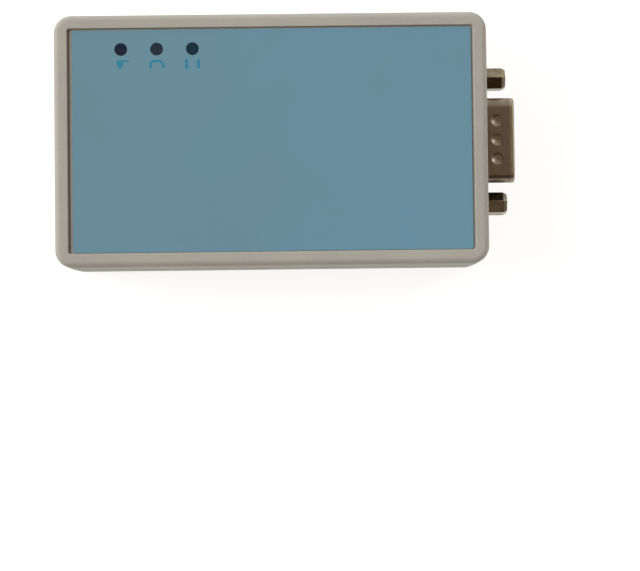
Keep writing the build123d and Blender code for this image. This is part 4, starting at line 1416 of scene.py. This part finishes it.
@dataclass
class Studio:
    """Pale light table, soft light from the left, and the camera of the photograph.

    Heights above the table are the sine of the angle up, 0 at the horizon and 1 straight up.

    Attributes:
        offset: place of the case's origin before the camera, in millimetres.
        tilt: turns of the object about the camera's X, Y and Z, in degrees.
        lens: focal length for a sensor as wide as the next value, in millimetres.
        sensor: width of the sensor.
        floor_size: half the width of the floor, in millimetres.
        softboxes: the key light on the left, and a small one on the right that shows in the metal.
        bright_side: direction towards which the horizon stands taller.
        side_reach: how far along that direction the horizon changes, to each side.
        horizon_top: height where the horizon has faded into the dusk, on its low side and its tall side.
        horizon_fade: height over which it fades.
        horizon_foot: lowest height where it may begin to fade.
        ring_inside: heights between which the ring of light begins.
        ring_outside: heights between which it ends, at the dark hole.
        ring_colour: sRGB colour of the ring of light.
        dusk_colour: sRGB colour above the horizon, where the room is unlit.
        horizon_colour: sRGB colour of the pale horizon.
    """

    offset: tuple[float, float, float] = (-9.68, 27.95, -372.3)
    tilt: tuple[float, float, float] = (-1.84, 0.38, 0.68)
    lens: float = 101.25
    sensor: float = 36.0
    floor_size: float = 4000.0
    softboxes: tuple[Softbox, ...] = (
        Softbox("key_light", (-0.82, 0.2, 0.54), 2.75, 38.0),
        Softbox("accent_light", (0.66, 0.34, 0.67), 0.45, 20.0),
    )
    bright_side: tuple[float, float, float] = (0.3, 0.8, 0.0)
    side_reach: float = 0.6
    horizon_top: tuple[float, float] = (0.24, 1.05)
    horizon_fade: float = 0.3
    horizon_foot: float = 0.12
    ring_inside: tuple[float, float] = (0.78, 0.9)
    ring_outside: tuple[float, float] = (0.94, 0.985)
    ring_colour: str = "DCC4B4"
    dusk_colour: str = "4A382B"
    horizon_colour: str = "FFFFFF"

    def build(self) -> None:
        """Make the camera, the floor, the lights and the world."""
        self.camera()
        self.floor()
        for softbox in self.softboxes:
            softbox.hang()
        self.world()
        bpy.context.scene.view_settings.view_transform = "Standard"

    def camera(self) -> None:
        """Stand the camera where the photograph was taken."""
        turns = [Matrix.Rotation(math.radians(a), 3, axis) for a, axis in zip(self.tilt, "XYZ")]
        to_object = (turns[2] @ turns[1] @ turns[0]).transposed()
        data = bpy.data.cameras.new("photo_camera")
        data.sensor_width = self.sensor
        data.lens = self.lens
        data.clip_end = 20.0
        camera = placed("photo_camera", data)
        camera.matrix_world = Matrix.Translation(to_object @ -mm(*self.offset)) @ to_object.to_4x4()
        bpy.context.scene.camera = camera

    def floor(self) -> None:
        """Lay the light table's sheet under the case."""
        half = self.floor_size
        corners = [mm(x, y, 0) for x, y in ((-half, -half), (half, -half), (half, half), (-half, half))]
        mesh = bpy.data.meshes.new("light_table")
        mesh.from_pydata([tuple(c) for c in corners], [], [(0, 1, 2, 3)])
        new_piece("light_table", mesh, LIGHT_TABLE)

    def world(self) -> None:
        """Surround the case with a pale horizon, taller towards its back and serial end, under a brown dusk.

        A soft ring of light hangs high round the camera, with a dark hole in the middle, as the underside of
        a ring light has. The flat metal faces look into the hole, and the rest gets nearly no shadow from it.
        """
        world = bpy.data.worlds.new("studio")
        world.use_nodes = True
        tree = world.node_tree
        tree.nodes.clear()
        direction = add_node(tree, "ShaderNodeTexCoord").outputs["Generated"]
        height = add_node(tree, SPLIT, {"Vector": direction}).outputs["Z"]
        side = add_node(tree, VECTOR, {0: direction, 1: self.bright_side}, operation="DOT_PRODUCT")
        low, tall = self.horizon_top
        ends = {"From Min": -self.side_reach, "From Max": self.side_reach, "To Min": low, "To Max": tall}
        top = add_node(tree, RANGE, {"Value": side, **ends})
        below = add_node(tree, MATH, {0: top, 1: self.horizon_fade}, operation="SUBTRACT")
        begin = add_node(tree, MATH, {0: below, 1: self.horizon_foot}, operation="MAXIMUM")
        ramps = []
        for first, last, start in ((begin, top, 0.0), (*self.ring_inside, 0.0), (*self.ring_outside, 1.0)):
            ends = {"From Min": first, "From Max": last, "To Min": start, "To Max": 1.0 - start}
            ramps.append(add_node(tree, RANGE, {"Value": height, **ends}, interpolation_type="SMOOTHSTEP"))
        fade, rim_in, rim_out = ramps
        skies = {SHARE: fade, FROM: linear(self.horizon_colour), TO: linear(self.dusk_colour)}
        tone = add_node(tree, MIX, skies, data_type="RGBA")
        ring = add_node(tree, MATH, {0: rim_in, 1: rim_out}, operation="MULTIPLY")
        lit = add_node(tree, MIX, {SHARE: ring, FROM: tone, TO: linear(self.ring_colour)}, data_type="RGBA")
        sky = add_node(tree, "ShaderNodeBackground", {"Color": lit, "Strength": 1.0})
        add_node(tree, "ShaderNodeOutputWorld", {"Surface": sky})
        bpy.context.scene.world = world


def main() -> None:
    """Load the frame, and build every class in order."""
    logging.basicConfig(level=logging.INFO, format="%(name)s %(message)s")
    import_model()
    Studio().build()
    for group in (Housing(), SerialPort(), UsbPort(), Lamps(), Board()):
        group.build()


if __name__ == "__main__":
    main()
